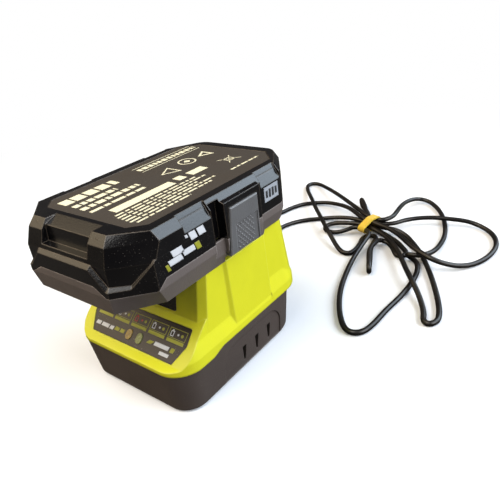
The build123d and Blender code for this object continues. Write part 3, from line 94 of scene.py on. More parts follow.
# %% [markdown]
# ## The cord
#
# The mains cord is about 1.9 m long. It drops from the charger to the table, and the rest is folded
# to and fro through an elastic band into loops that splay apart. A cloth or rope simulation would
# drop it at random, so the route is listed: each place is a control point of one smooth
# NURBS curve, in the order in which the cord runs.

# %% The cord's route, in millimetres
low = 1.8                      # height of the cord's middle where it lies on the table
cord_route = [
    # from the charger down to the table and back to the tie
    (0, 50, 13.5), (0, 76, 13.5), (-6, 95, 10.6), (-16, 108, 4.8), (-26, 117, low),
    (-34, 126.5, low), (-37.5, 138, low), (-34.5, 149.5, low),
    (-27, 159.5, low), (-17, 166.4, low), (-5.5, 169.8, 3.5), (6.5, 169.6, 5.4),
    # through the tie
    (19.7, 166.9, 6.1), (34.9, 161.9, 6.1),
    # the long narrow loop in front
    (44, 166, 4.6), (52.8, 164, 2.3), (60.8, 155.8, low), (69.2, 145.7, low),
    (76.9, 134.3, low), (84.3, 122, low), (91, 109.9, low),
    (97.2, 97.4, low), (101.2, 88.2, low), (103.2, 81.6, low),
    (103.6, 77.2, low), (101.4, 73.2, low), (97.4, 74, low),
    (95, 82, low), (90.4, 90.4, 2.2), (85, 98, 3.8), (78.9, 105.2, 5.8), (72, 114.4, 6.1),
    (63.8, 126.8, 6.1), (54.8, 139.4, 6.1), (44.5, 149.5, 6.1),
    # back through the tie
    (33.3, 157.1, 6.1), (18.1, 162.1, 6.1),
    # small loop beside the tie
    (7, 160.8, 5), (-2.2, 160.6, 3.2), (-7, 155.6, 2.2), (-4, 149.6, low), (4.5, 147.8, 2),
    (12.6, 151.2, 4.2),
    # through the tie
    (17.4, 157.2, 6.1), (31.8, 152.4, 6.1),
    # the wide front loop
    (33.2, 138, 5.8), (34.2, 120, 2.8), (38.6, 100.2, low), (44.4, 81.9, low),
    (51.9, 66.1, low), (60, 53.5, low), (67, 47.2, low),
    (73.6, 49.6, low), (76, 58.5, low), (76.3, 74.5, low),
    (78.2, 90, low), (78.4, 104.2, low), (77.6, 115.5, low),
    (75.4, 125, low), (72, 132.4, low), (67.2, 136.2, low),
    # folded over itself, then round the back loop
    (64.4, 134.6, 4.3), (67, 131.6, 6.7), (72.4, 132.2, 6.8), (76.6, 137.6, 6.1),
    (78.2, 146.5, 4.5), (77.6, 158.6, 2.6), (76, 173.2, low), (71.4, 188.9, low),
    (63.6, 206.5, low), (54.5, 219.8, 2), (44.7, 227.8, 2.7), (36, 224.6, 4.3),
    (33.1, 211.5, 6.1), (34.6, 197, 8.1), (37, 184, 9.3), (38.4, 172.8, 10),
    # through the tie
    (32.7, 165.2, 9.5), (20.5, 169.2, 9.5),
    # the long left loop
    (8.6, 178.6, 9.5), (-6.9, 191.4, 8.6), (-24.7, 207.4, 6.1), (-42.5, 222, 3.6),
    (-54.8, 230.4, 2.2), (-61.6, 231.4, low), (-64.4, 225.8, low), (-59.8, 217, low),
    (-50, 204.4, 3.1), (-39, 190.2, 5.8), (-25.6, 173.6, 6.5), (-12.5, 159.4, 6.1),
    (-0.9, 146.2, 6.1), (8.1, 137.4, 4.5), (16, 130, 2.6), (23, 124.4, low), (28.8, 124.8, low),
    (30, 131.4, low), (28.6, 140.6, low),
    # turned under the bundle
    (26.4, 148.6, low), (28.2, 155.4, low), (34.4, 155.4, low),
    (36.2, 147.8, low),
    # the short upright loop
    (37.6, 139.4, low), (41.2, 130.4, low), (44.8, 122.4, low),
    (48, 114.2, low), (50.7, 108.1, low), (51.5, 106.3, 4.3), (50.7, 108.1, 6.8),
    (47.4, 115.2, 7.1), (43.6, 123.2, 6.9), (41, 131.4, 6.4), (40.2, 138.8, 5.5),
    (39.5, 145.4, 4.5), (41.4, 149.8, 2.8), (46.6, 148.8, 1.9),
    # the short loop under the others
    (51.8, 142.9, low), (56.8, 135.2, low), (61.4, 136.3, low),
    (62.4, 140.9, low), (56.6, 147.4, low), (50.2, 153.6, low),
    (42.2, 158.8, low),
    # under the tie
    (33.6, 163.4, low), (25.6, 169.4, low), (17.4, 180.4, low),
    (10.4, 191.6, low),
    # the stub behind the tie
    (3.8, 198, low), (-0.6, 203.9, low), (-1.7, 205.2, 4.1), (-0.6, 203.9, 6.4),
    (3.6, 198.6, 6.6), (9.4, 189.6, 6.6), (14.8, 180.4, 6.3),
    # through the tie
    (21.2, 171.6, 6.1), (33.5, 167.5, 6.1),
    # the large right loop
    (40.5, 171.5, 6.1), (45.5, 179.5, 6.4), (54, 186.3, 6.8), (63.5, 190.6, 6.8), (74, 193.2, 6.4),
    (83.6, 197.2, 4.9), (92.2, 197.6, 2.8), (100.4, 192.6, 1.9), (106.4, 183.4, low),
    (109.4, 171.4, low), (108.6, 157.3, low), (104.1, 145.1, low),
    (97.4, 136.8, 2.8), (90.4, 130.2, 6.1), (83, 127.2, 9.2), (74.6, 130.7, 10.3),
    (64.2, 138.2, 10.3), (54.3, 147.9, 10.1), (43.6, 155.4, 10),
    # through the tie
    (34.1, 159.5, 9.4), (18.9, 164.5, 9.4),
    # away to the plug
    (4.3, 177, 9.2), (-9.5, 186, 6.9), (-25, 193.4, 3.4), (-36.4, 192.3, 2), (-45.3, 186, low),
    (-50.4, 175, low), (-52.5, 162, low), (-58, 147.5, low),
    (-67, 135.5, 2.6), (-76.2, 124.5, 7.0), (-82, 112, 12), (-82, 99, 12),
]
cord_radius = 1.6

# %% The cord itself
cord_curve = bpy.data.curves.new("cord_line", "CURVE")
cord_curve.dimensions = "3D"
spline = cord_curve.splines.new("NURBS")
spline.points.add(len(cord_route) - 1)
for point, place in zip(spline.points, cord_route):
    point.co = (place[0] * MM, place[1] * MM, place[2] * MM, 1)
    point.radius = cord_radius * MM
spline.order_u = 3
spline.use_endpoint_u = True
cord_curve.resolution_u = 6
cord_curve.bevel_depth = 1.0   # each point's own radius multiplies it
cord_curve.bevel_resolution = 3
cord_curve.use_fill_caps = True
cord = bpy.data.objects.new("cord_on_table", cord_curve)
bpy.context.scene.collection.objects.link(cord)
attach(cord, "charger")
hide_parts("mains_cord")
print("cord points:", len(cord_route))

# %% [markdown]
# ## Wiring materials
#
# Every finish below is a small network of nodes. Placing and linking nodes takes three or four
# lines each in plain Python, so these helpers do it in one: they set a node's options, then feed
# each input either from another node or with a fixed value.

# %% Helpers that place nodes
def add_node(tree, kind, feeds=None, **options):
    """Adds a node; feeds maps an input's name or number to a socket or a value."""
    made = tree.nodes.new(kind)
    for name, value in options.items():
        setattr(made, name, value)
    for key, value in (feeds or {}).items():
        if isinstance(value, bpy.types.NodeSocket):
            tree.links.new(value, made.inputs[key])
        else:
            made.inputs[key].default_value = value
    return made


def calc(tree, operation, first, second=0.0, clamp=False):
    """One sum on two numbers, each a socket or a value."""
    return add_node(tree, "ShaderNodeMath", {0: first, 1: second},
                    operation=operation, use_clamp=clamp).outputs[0]


def mix_colors(tree, share, color_a, color_b):
    """Goes from color_a to color_b as the share goes from 0 to 1."""
    return add_node(tree, "ShaderNodeMix", {0: share, 6: color_a, 7: color_b},
                    data_type="RGBA").outputs[2]


def noise(tree, place, scale, detail):
    """A cloudy pattern; the larger the scale, the smaller its blotches."""
    return add_node(tree, "ShaderNodeTexNoise",
                    {"Vector": place, "Scale": scale, "Detail": detail}).outputs[0]


def stretch(tree, value, low, high, **options):
    """Stretches what lies between low and high over 0 to 1."""
    return add_node(tree, "ShaderNodeMapRange",
                    {"Value": value, "From Min": low, "From Max": high}, **options).outputs[0]


def bump(tree, height, distance, **more):
    """A normal for a surface that stands up by distance, in metres, where height is 1."""
    return add_node(tree, "ShaderNodeBump",
                    {"Height": height, "Distance": distance, **more}).outputs[0]


def new_material(name):
    """A material, its node tree and its Principled shader."""
    material = bpy.data.materials.new(name)
    material.use_nodes = True
    return material, material.node_tree, material.node_tree.nodes["Principled BSDF"]


def feed_shader(tree, principled, color, roughness, normal):
    """Links the three things that differ from place to place on a surface."""
    for socket, source in (("Base Color", color), ("Roughness", roughness), ("Normal", normal)):
        tree.links.new(source, principled.inputs[socket])


def new_group(name, inputs, outputs):
    """An empty shader group with named sockets, and its inner input and output sockets."""
    group = bpy.data.node_groups.new(name, "ShaderNodeTree")
    for label, kind, value in inputs:
        group.interface.new_socket(label, in_out="INPUT", socket_type=kind).default_value = value
    for label, kind in outputs:
        group.interface.new_socket(label, in_out="OUTPUT", socket_type=kind)
    inside = group.nodes.new("NodeGroupInput").outputs
    outside = group.nodes.new("NodeGroupOutput").inputs
    return group, inside, outside


def rgb(color):
    """A colour as the four numbers that a socket wants."""
    return (*color, 1.0)


# %% [markdown]
# ## One skin for all moulded plastic
#
# A moulded housing is never one flat colour. Its texture scatters light, its edges are rounded and
# painted paler, partly as wear and partly as a painted highlight, and dust settles on it. All of
# that comes from one node group: a coarse noise clouds the colour, a fine noise is the mould's
# grain, the Bevel node finds the edges and rounds them in the shading alone, and a sparse noise is
# dust. Each plastic then places this group with its own values.

# %% The moulded skin group
skin, skin_in, skin_out = new_group(
    "moulded_skin",
    [("Color", "NodeSocketColor", (0.5, 0.5, 0.5, 1)),
     ("Cloud Color", "NodeSocketColor", (0.4, 0.4, 0.4, 1)),
     ("Edge Wear And Highlight Color", "NodeSocketColor", (0.6, 0.6, 0.6, 1)),
     ("Dust Color", "NodeSocketColor", (0.5, 0.45, 0.4, 1)),
     ("Cloud Scale", "NodeSocketFloat", 40.0), ("Grain Scale", "NodeSocketFloat", 1500.0),
     ("Grain Depth", "NodeSocketFloat", 0.2), ("Edge Radius", "NodeSocketFloat", 0.0006),
     ("Edge Wear", "NodeSocketFloat", 0.3), ("Dust", "NodeSocketFloat", 0.1),
     ("Roughness", "NodeSocketFloat", 0.5), ("Rough Spread", "NodeSocketFloat", 0.1)],
    [("Color", "NodeSocketColor"), ("Roughness", "NodeSocketFloat"),
     ("Normal", "NodeSocketVector")],
)
edge_gain = 5.0                # how soon a normal that turns away counts as an edge
rub_and_glint_scale = 260.0
speck_scale = 1900.0
speck_range = (0.90, 0.95)     # only the noise's highest peaks become specks
gather_scale = 55.0
gather_share = 0.24            # how far the specks keep to patches
film_share = 0.05              # the thin film of dust between the specks
dust_roughness = 0.3
grain_height = 0.0002

place = add_node(skin, "ShaderNodeTexCoord").outputs["Object"]
clouds = stretch(skin, noise(skin, place, skin_in["Cloud Scale"], 4.0), 0.35, 0.65)
grain = noise(skin, place, skin_in["Grain Scale"], 2.0)
rounded = add_node(skin, "ShaderNodeBevel", {"Radius": skin_in["Edge Radius"]},
                   samples=6).outputs[0]
face_normal = add_node(skin, "ShaderNodeNewGeometry").outputs["Normal"]
facing = add_node(skin, "ShaderNodeVectorMath", {0: rounded, 1: face_normal},
                  operation="DOT_PRODUCT").outputs["Value"]
# Edges are painted towards the edge colour: partly wear, partly a painted highlight on the bevels.
turned_away = calc(skin, "MULTIPLY", calc(skin, "SUBTRACT", 1.0, facing), edge_gain, clamp=True)
rub_and_glint = calc(skin, "MULTIPLY", noise(skin, place, rub_and_glint_scale, 3.0), skin_in["Edge Wear"])
edges_rubbed_and_highlit = calc(skin, "MULTIPLY", turned_away, rub_and_glint, clamp=True)
gathered = calc(skin, "MULTIPLY", noise(skin, place, gather_scale, 1.0), gather_share)
peaks = calc(skin, "ADD", noise(skin, place, speck_scale, 0.0), gathered)
specks = stretch(skin, peaks, *speck_range)
film = calc(skin, "MULTIPLY", clouds, film_share)
dusty = calc(skin, "MULTIPLY", calc(skin, "ADD", specks, film), skin_in["Dust"], clamp=True)
clouded = mix_colors(skin, clouds, skin_in["Color"], skin_in["Cloud Color"])
worn_and_highlit = mix_colors(skin, edges_rubbed_and_highlit, clouded, skin_in["Edge Wear And Highlight Color"])
skin.links.new(mix_colors(skin, dusty, worn_and_highlit, skin_in["Dust Color"]), skin_out["Color"])
spread = calc(skin, "MULTIPLY", calc(skin, "SUBTRACT", clouds, 0.5), skin_in["Rough Spread"])
clean_roughness = calc(skin, "ADD", skin_in["Roughness"], spread)
rougher = calc(skin, "MULTIPLY", dusty, dust_roughness)
skin.links.new(calc(skin, "ADD", clean_roughness, rougher, clamp=True), skin_out["Roughness"])
relief = calc(skin, "MULTIPLY", grain, skin_in["Grain Depth"])
skin.links.new(bump(skin, relief, grain_height, Normal=rounded), skin_out["Normal"])
print("skin group nodes:", len(skin.nodes))


# %% [markdown]
# A material made from the group needs only its values. Numbers that are the same all over, such as
# the coat, go straight on the shader, so that they survive an export.

# %% Materials from the skin
# The edge colour and its amount paint the edges paler: partly wear, partly a painted highlight.
def moulded(name, color, cloud_color, roughness, edge_wear_and_highlight_color=(0.6, 0.6, 0.6), shader=None,
            **skin_values):
    """A plastic or rubber with the moulded skin; shader holds the Principled values."""
    material, tree, principled = new_material(name)
    for socket, value in (shader or {}).items():
        principled.inputs[socket].default_value = value
    feeds = {"Color": rgb(color), "Cloud Color": rgb(cloud_color), "Edge Wear And Highlight Color": rgb(edge_wear_and_highlight_color),
             "Roughness": roughness}
    for label, value in skin_values.items():
        feeds[label.replace("_", " ").title()] = rgb(value) if isinstance(value, tuple) else value
    surface = add_node(tree, "ShaderNodeGroup", feeds, node_tree=skin).outputs
    feed_shader(tree, principled, surface["Color"], surface["Roughness"], surface["Normal"])
    return material


def dress(material, *names):
    """Gives solids of the frame a material."""
    for name in names:
        solids[name].data.materials.clear()
        solids[name].data.materials.append(material)


# %% [markdown]
# ## The charger's housing
#
# The tray is charcoal, warm where it faces the front. The upper housing is a strong lime with a
# satin grain. Its deep colour needs a low blue value, and the cloud colour stays close to it,
# because a bright plastic shows stains long before it shows shade.

# %% Housing materials
charcoal = moulded("charcoal_plastic", (0.094, 0.075, 0.067), (0.078, 0.062, 0.055), 0.36,
                   edge_wear_and_highlight_color=(0.17, 0.14, 0.12), edge_wear=0.5, dust=0.10, grain_depth=0.4,
                   rough_spread=0.12)
# The bright edge colour is a painted highlight on the bevels and ledges, with some wear.
lime = moulded("lime_plastic", (0.74, 0.73, 0.024), (0.68, 0.68, 0.020), 0.36,
               edge_wear_and_highlight_color=(0.84, 0.86, 0.16), edge_wear=1.0, dust=0.03, grain_depth=0.35,
               edge_radius=0.0010, rough_spread=0.10)
black_liner = moulded("black_liner", (0.016, 0.016, 0.017), (0.022, 0.022, 0.022), 0.5,
                      grain_depth=0.3)
foot_rubber = moulded("foot_rubber", (0.020, 0.020, 0.020), (0.03, 0.03, 0.03), 0.8,
                      grain_depth=0.8)
panel_film = moulded("panel_film", (0.016, 0.011, 0.010), (0.024, 0.017, 0.015), 0.38,
                     edge_wear_and_highlight_color=(0.10, 0.08, 0.07), edge_wear=0.3, dust=0.25, grain_depth=0.15,
                     edge_radius=0.0003)
plate_black = moulded("plate_black", (0.010, 0.010, 0.012), (0.014, 0.014, 0.017), 0.30,
                      dust=0.12, grain_depth=0.1, edge_radius=0.0003)
dress(charcoal, "base_tray")
dress(lime, "upper_housing")
dress(black_liner, "socket_well")
dress(foot_rubber, "rubber_feet")
dress(panel_film, "status_panel")
dress(plate_black, "tower_plate")

# %% [markdown]
# ## The pack's shells
#
# The upper shell is black and smoother than the housing, so the room shows on its bevels, and a tan
# edge colour adds a painted highlight there. The lower shell is a warm grey with a matt grain, and
# its pale edge colour paints a bright highlight along the seam between the shells. The label is a
# printed film, and the two release buttons are mid grey with pale edges, partly wear from fingers
# and partly painted highlight.

# %% Pack materials
# The tan edge colour is a painted highlight on the shell's bevels, with some wear.
pack_black = moulded("pack_black", (0.0014, 0.0013, 0.0020), (0.0026, 0.0025, 0.0032), 0.22,
                     edge_wear_and_highlight_color=(0.14, 0.11, 0.08), edge_wear=1.3, dust=0.10,
                     dust_color=(0.40, 0.37, 0.33), grain_depth=0.35, rough_spread=0.08,
                     edge_radius=0.0007, shader={"Coat Weight": 0.3, "Coat Roughness": 0.12})
# The pale edge colour is a painted highlight along the seam between the shells, with some wear.
pack_grey = moulded("pack_grey", (0.150, 0.126, 0.117), (0.124, 0.105, 0.098), 0.44,
                    edge_wear_and_highlight_color=(0.46, 0.41, 0.38), edge_wear=1.4, dust=0.12, grain_depth=0.4)
# The paler edge colour is partly wear and partly a painted highlight.
label_film = moulded("label_film", (0.046, 0.037, 0.029), (0.036, 0.029, 0.023), 0.60,
                     edge_wear_and_highlight_color=(0.14, 0.12, 0.09), edge_wear=0.3, dust=0.18, grain_depth=0.3,
                     edge_radius=0.0002)
# The pale edge colour is partly wear from fingers and partly a painted highlight.
button_grey = moulded("button_grey", (0.130, 0.130, 0.134), (0.105, 0.106, 0.110), 0.38,
                      edge_wear_and_highlight_color=(0.42, 0.42, 0.44), edge_wear=1.4, dust=0.10, grain_depth=0.4,
                      edge_radius=0.0005)
dress(pack_black, "pack_upper_shell")
dress(pack_grey, "pack_lower_shell")
dress(label_film, "pack_label")
dress(button_grey, "latch_left", "latch_right")

# %% [markdown]
# ## Cord, plug and band
#
# A flexible vinyl skin is glossier than a housing and has no mould grain, only the slight wave of
# the cores under it. The band is woven elastic: fine ribs run round it, from a wave texture that is
# turned into the ring's own direction, and the threads differ a little in yellow. The ribs' troughs
# are also darker in colour, a painted shade.

# %% Vinyl and elastic
cord_vinyl = moulded("cord_vinyl", (0.0060, 0.0050, 0.0048), (0.011, 0.0085, 0.0070), 0.33,
                     dust=0.10, grain_scale=420.0, grain_depth=0.5, cloud_scale=60.0,
                     edge_radius=0.0002)
relief_rubber = moulded("relief_rubber", (0.014, 0.014, 0.015), (0.020, 0.020, 0.020), 0.55,
                        grain_depth=0.4)
plug_vinyl = moulded("plug_vinyl", (0.014, 0.014, 0.015), (0.020, 0.020, 0.021), 0.45,
                     edge_wear_and_highlight_color=(0.08, 0.08, 0.08), dust=0.10, grain_depth=0.5)
cord_curve.materials.append(cord_vinyl)
dress(relief_rubber, "strain_relief")
dress(plug_vinyl, "mains_plug")
band_turn = math.atan2(0.31, 0.95)


def woven_elastic():
    """Yellow elastic with ribs that run along the band."""
    material, tree, principled = new_material("tie_elastic")
    object_place = add_node(tree, "ShaderNodeTexCoord").outputs["Object"]
    across = add_node(tree, "ShaderNodeMapping",
                      {"Vector": object_place, "Rotation": (0, 0, band_turn)}).outputs[0]
    ribs = add_node(tree, "ShaderNodeTexWave",
                    {"Vector": across, "Scale": 330.0, "Distortion": 0.6, "Detail": 1.0},
                    bands_direction="X").outputs["Fac"]
    threads = noise(tree, object_place, 900.0, 2.0)
    # The ribs darken the colour in their troughs as painted shade, and the threads vary the yellow.
    shade = calc(tree, "MULTIPLY", ribs, threads, clamp=True)
    color = mix_colors(tree, shade, rgb((0.66, 0.40, 0.010)), rgb((0.93, 0.70, 0.035)))
    roughness = calc(tree, "ADD", calc(tree, "MULTIPLY", threads, 0.2), 0.65)
    feed_shader(tree, principled, color, roughness, bump(tree, ribs, 0.0002, Strength=0.8))
    principled.inputs["Sheen Weight"].default_value = 0.3
    return material


dress(woven_elastic(), "cord_tie")


# %% [markdown]
# ## Metals
#
# Contacts, pins, screws, nickel strips, the heat sink and the coil springs are bare metal. One
# function covers them: the colour, a roughness that varies with fine drawn streaks, and a little
# bump from the same streaks.

# %% Metal materials
streak_share = 0.25            # how much the streaks change the roughness
streak_middle = 0.12           # what they add on average, taken off again


def drawn_metal(name, color, tarnish, roughness, streak=(60.0, 60.0, 1600.0)):
    """Bare metal with streaks; the largest of the three streak numbers crosses them."""
    material, tree, principled = new_material(name)
    principled.inputs["Metallic"].default_value = 1.0
    object_place = add_node(tree, "ShaderNodeTexCoord").outputs["Object"]
    stretched = add_node(tree, "ShaderNodeMapping", {"Vector": object_place, "Scale": streak})
    streaks = noise(tree, stretched.outputs[0], 1.0, 3.0)
    stains = noise(tree, object_place, 120.0, 3.0)
    varied = calc(tree, "MULTIPLY", streaks, streak_share)
    feed_shader(tree, principled, mix_colors(tree, stains, rgb(color), rgb(tarnish)),
                calc(tree, "ADD", varied, roughness - streak_middle),
                bump(tree, streaks, 0.00005))
    return material


contact_brass = drawn_metal("contact_brass", (0.80, 0.62, 0.32), (0.66, 0.48, 0.24), 0.30)
screw_steel = drawn_metal("screw_steel", (0.45, 0.45, 0.46), (0.35, 0.34, 0.33), 0.38)
sink_metal = drawn_metal("sink_metal", (0.62, 0.63, 0.65), (0.52, 0.52, 0.54), 0.40)
spring_steel = drawn_metal("spring_steel", (0.55, 0.55, 0.56), (0.46, 0.45, 0.44), 0.30,
                           streak=(1600.0, 60.0, 60.0))
nickel_strip = drawn_metal("nickel_strip", (0.70, 0.69, 0.66), (0.60, 0.58, 0.54), 0.28)
ferrite = drawn_metal("ferrite", (0.055, 0.055, 0.060), (0.075, 0.073, 0.072), 0.62)
dress(contact_brass, "charge_contacts", "pack_terminals", "plug_pins")
dress(screw_steel, "housing_screws", "pack_screws")
dress(sink_metal, "heat_sink")
dress(nickel_strip, "cell_links")
dress(ferrite, "transformer_core")


# %% [markdown]
# ## What is inside
#
# The boards, cells and windings show only when the parts are taken apart, yet each has its own
# finish. A circuit board is green lacquer over copper tracks: a Voronoi pattern in its Manhattan
# measure gives square-cornered cells, and their borders pass for tracks.

# %% Board, cells, cans and windings
def lacquered_board():
    """Green lacquer with slightly raised tracks under it."""
    material, tree, principled = new_material("board_green")
    object_place = add_node(tree, "ShaderNodeTexCoord").outputs["Object"]
    cells_pattern = add_node(tree, "ShaderNodeTexVoronoi", {"Vector": object_place, "Scale": 260.0},
                             distance="MANHATTAN").outputs["Distance"]
    tracks = stretch(tree, cells_pattern, 0.42, 0.50)
    color = mix_colors(tree, tracks, rgb((0.012, 0.085, 0.030)), rgb((0.045, 0.20, 0.070)))
    roughness = calc(tree, "ADD", calc(tree, "MULTIPLY", tracks, -0.1), 0.40)
    feed_shader(tree, principled, color, roughness, bump(tree, tracks, 0.00006))
    return material


dress(lacquered_board(), "circuit_board", "pack_board")
for name, node, color, cloud_color, roughness, depth in (
        ("cell_sleeve", "cells", (0.030, 0.16, 0.30), (0.024, 0.13, 0.26), 0.32, 0.1),
        ("holder_plastic", "cell_holder", (0.030, 0.030, 0.033), (0.04, 0.04, 0.042), 0.55, 0.2),
        ("capacitor_can", "capacitors", (0.020, 0.026, 0.050), (0.028, 0.034, 0.060), 0.35, 0.1),
        ("winding_tape", "transformer_winding", (0.62, 0.46, 0.07), (0.55, 0.39, 0.05), 0.40, 0.3),
        ("led_body", "status_leds", (0.75, 0.75, 0.68), (0.70, 0.70, 0.62), 0.2, 0.05)):
    dress(moulded(name, color, cloud_color, roughness, grain_depth=depth), node)

# %% [markdown]
# ## The two lights
#
# Each light is a moulded lens on a clear rod that carries the light up from the board. Unlit, such
# a lens looks dark and a little milky. Some transmission with a tinted colour gives that depth, and
# the fine frosting is bump.

# %% Lens materials
for lens_node, tint, core in (("led_lens_amber", (0.50, 0.33, 0.07), (0.30, 0.20, 0.05)),
                              ("led_lens_green", (0.30, 0.34, 0.10), (0.19, 0.22, 0.07))):
    # The pale edge colour is a painted highlight on the lens rims.
    lens = moulded(lens_node, tint, core, 0.28, dust=0.2, grain_scale=900.0, grain_depth=0.8,
                   cloud_scale=700.0, edge_wear_and_highlight_color=(0.8, 0.75, 0.5), edge_wear=0.4,
                   edge_radius=0.0003, shader={"Transmission Weight": 0.25, "IOR": 1.49})
    dress(lens, lens_node)


# %% [markdown]
# ## Printing
#
# Ink on the label, on the status panel and on the pack's sides is made as real, very thin patches.
# A texture could carry it, but thin geometry stays crisp from any distance. The marks are plain
# bars, frames, rings and triangles, laid out as rows of print are. Each patch starts as a grid, a
# circle or a triangle in the sheet's own plane, and the whole sheet is then given its thickness and
# moved onto the face that it is printed on.

# %% Helpers for printed sheets
INK = 0.05                     # thickness of a printed patch, mm
INK_PROUD = 0.04               # how much of that stands above the face
WORD_GAP = 0.9                 # between two bars of a row, mm
UPSIDE_DOWN = math.radians(180)


def add_patch(sheet, x, y, wide, high, lean=0.0):
    """A solid bar round (x, y); lean slants its upright sides."""
    corners = bmesh.ops.create_grid(sheet, x_segments=1, y_segments=1, size=0.5)["verts"]
    slant = Matrix(((1, lean, 0, 0), (0, 1, 0, 0), (0, 0, 1, 0), (0, 0, 0, 1)))
    shape = Matrix.Translation((x, y, 0)) @ slant @ Matrix.Diagonal((wide, high, 1, 1))
    bmesh.ops.transform(sheet, matrix=shape, verts=corners)
    return corners[0].link_faces[0]


def add_round(sheet, x, y, radius, sides=24, turn=0.0):
    """A disc, or a triangle or square with few sides."""
    rim = bmesh.ops.create_circle(sheet, cap_ends=True, segments=sides, radius=radius)["verts"]
    shape = Matrix.Translation((x, y, 0)) @ Matrix.Rotation(turn, 4, "Z")
    bmesh.ops.transform(sheet, matrix=shape, verts=rim)
    return rim[0].link_faces[0]


def hollow(sheet, face, line):
    """Leaves only an outline of a patch."""
    bmesh.ops.inset_region(sheet, faces=[face], thickness=line, use_even_offset=True,
                           use_boundary=True)
    bmesh.ops.delete(sheet, geom=[face], context="FACES_ONLY")


def add_row(sheet, x, y_from, y_to, high, words):
    """A row of bars along Y, with gaps, as a line of print looks from afar."""
    at = y_from
    count = 0
    while at < y_to:
        long = min(words[count % len(words)], y_to - at)
        add_patch(sheet, x, at + long / 2, high, long)
        at += long + WORD_GAP
        count += 1


def print_sheet(sheet, name, origin, x_axis, y_axis, material, body):
    """Thickens a sheet, puts it on its face and makes it an object that rides on a body."""
    bmesh.ops.solidify(sheet, geom=sheet.faces[:], thickness=INK)
    bmesh.ops.recalc_face_normals(sheet, faces=sheet.faces[:])
    across, along = Vector(x_axis), Vector(y_axis)
    out = across.cross(along)
    start = Vector(origin) + out * INK_PROUD
    onto = Matrix((
        (across.x, along.x, out.x, start.x), (across.y, along.y, out.y, start.y),
        (across.z, along.z, out.z, start.z), (0, 0, 0, 1),
    ))
    bmesh.ops.transform(sheet, matrix=Matrix.Scale(MM, 4) @ onto, verts=sheet.verts[:])
    return place_piece(sheet, name, material, body)


def place_piece(mesh_parts, name, material, body):
    """Turns a finished bmesh into an object on a body."""
    mesh = bpy.data.meshes.new(name)
    mesh_parts.to_mesh(mesh)
    mesh_parts.free()
    mesh.materials.append(material)
    piece = bpy.data.objects.new(name, mesh)
    bpy.context.scene.collection.objects.link(piece)
    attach(piece, body)
    print(name, "faces:", len(mesh.polygons))
    return piece


def smooth(piece):
    """Shades a piece's faces as one rounded surface."""
    piece.data.polygons.foreach_set("use_smooth", [True] * len(piece.data.polygons))


# %% Inks
cream_ink = moulded("cream_ink", (0.82, 0.78, 0.56), (0.76, 0.71, 0.50), 0.6, dust=0.1,
                    grain_depth=0.2)
white_ink = moulded("white_ink", (0.70, 0.72, 0.76), (0.62, 0.64, 0.68), 0.5, dust=0.1,
                    grain_depth=0.2)
lime_ink = moulded("lime_ink", (0.36, 0.36, 0.025), (0.29, 0.29, 0.020), 0.5, dust=0.1,
                   grain_depth=0.2)
red_ink = moulded("red_ink", (0.55, 0.02, 0.03), (0.45, 0.015, 0.02), 0.4, grain_depth=0.1)
dark_ink = moulded("dark_ink", (0.030, 0.032, 0.036), (0.04, 0.042, 0.045), 0.5, grain_depth=0.1)

# %% [markdown]
# ## The label's print
#
# On the real label a heading, three lines of data, a long white field with two small ones, and six
# lines of small print fill one half; four marks stand in the other. Here they are all plain shapes
# of the same size and place. The rows run along the pack.

# %% Label print
label_top = 94.7
heading_x = -21.6
heading_high = 6.6
small_print_x = 12.3           # the first of six lines
small_print_pitch = 2.65
small_print_high = 1.15
label_print = bmesh.new()
for block_y, block_long in ((-36.6, 5.0), (-30.4, 5.6), (-23.6, 5.6), (-16.9, 5.6), (-10.8, 3.0)):
    add_patch(label_print, heading_x, block_y, heading_high, block_long)
add_row(label_print, -13.2, -39.0, -16.0, 3.4, (3.2, 2.4, 3.2, 5.6))
add_row(label_print, -7.2, -39.3, -8.0, 3.4, (3.4, 2.6, 4.4, 2.2, 5.0))
add_row(label_print, -1.2, -39.3, -9.5, 2.2, (6.4, 3.0, 7.2, 4.4))
add_patch(label_print, 7.2, -17.6, 5.4, 34.4)
add_patch(label_print, 6.2, 5.4, 5.2, 4.8)
add_patch(label_print, 6.8, 16.4, 5.4, 10.4)
for row, (row_from, row_to) in enumerate(((-37.6, 9.0), (-38.6, 13.0), (-38.8, 5.5),
                                          (-39.0, 13.6), (-39.2, 8.5), (-38.0, -8.0))):
    add_row(label_print, small_print_x + small_print_pitch * row, row_from, row_to,
            small_print_high, (4.2 + row * 0.3, 2.4, 5.6, 3.1, 1.8))
for line_x in (-26.2, -18.4):
    add_patch(label_print, line_x, 25.6, 0.5, 41.0)
add_row(label_print, -22.2, 5.6, 46.0, 3.4, (2.2, 3.0, 2.6, 1.8))
hollow(label_print, add_round(label_print, -5.6, 11.0, 6.0, sides=3, turn=UPSIDE_DOWN), 0.8)
hollow(label_print, add_round(label_print, -8.0, 25.4, 4.8), 0.8)
add_round(label_print, -8.0, 25.4, 2.0, sides=4)
hollow(label_print, add_round(label_print, -7.6, 38.4, 5.2, sides=3, turn=UPSIDE_DOWN), 1.2)
for cross_lean in (-0.9, 0.9):
    add_patch(label_print, 11.0, 35.6, 0.7, 9.0, lean=cross_lean)
hollow(label_print, add_patch(label_print, 11.0, 35.6, 4.6, 5.2), 0.6)
add_row(label_print, 22.4, 23.0, 44.0, 1.2, (3.6, 2.2, 4.8))
print_sheet(label_print, "label_print", (0, 0, label_top), (1, 0, 0), (0, 1, 0), cream_ink,
            "battery_pack")

# %% [markdown]
# ## The status panel's print
#
# The sloped deck carries five small frames, each with a battery sign and two dots, and a bar under
# each. The middle one is red. The sheet's plane is the deck's own: X goes across, and the second
# axis climbs the slope.

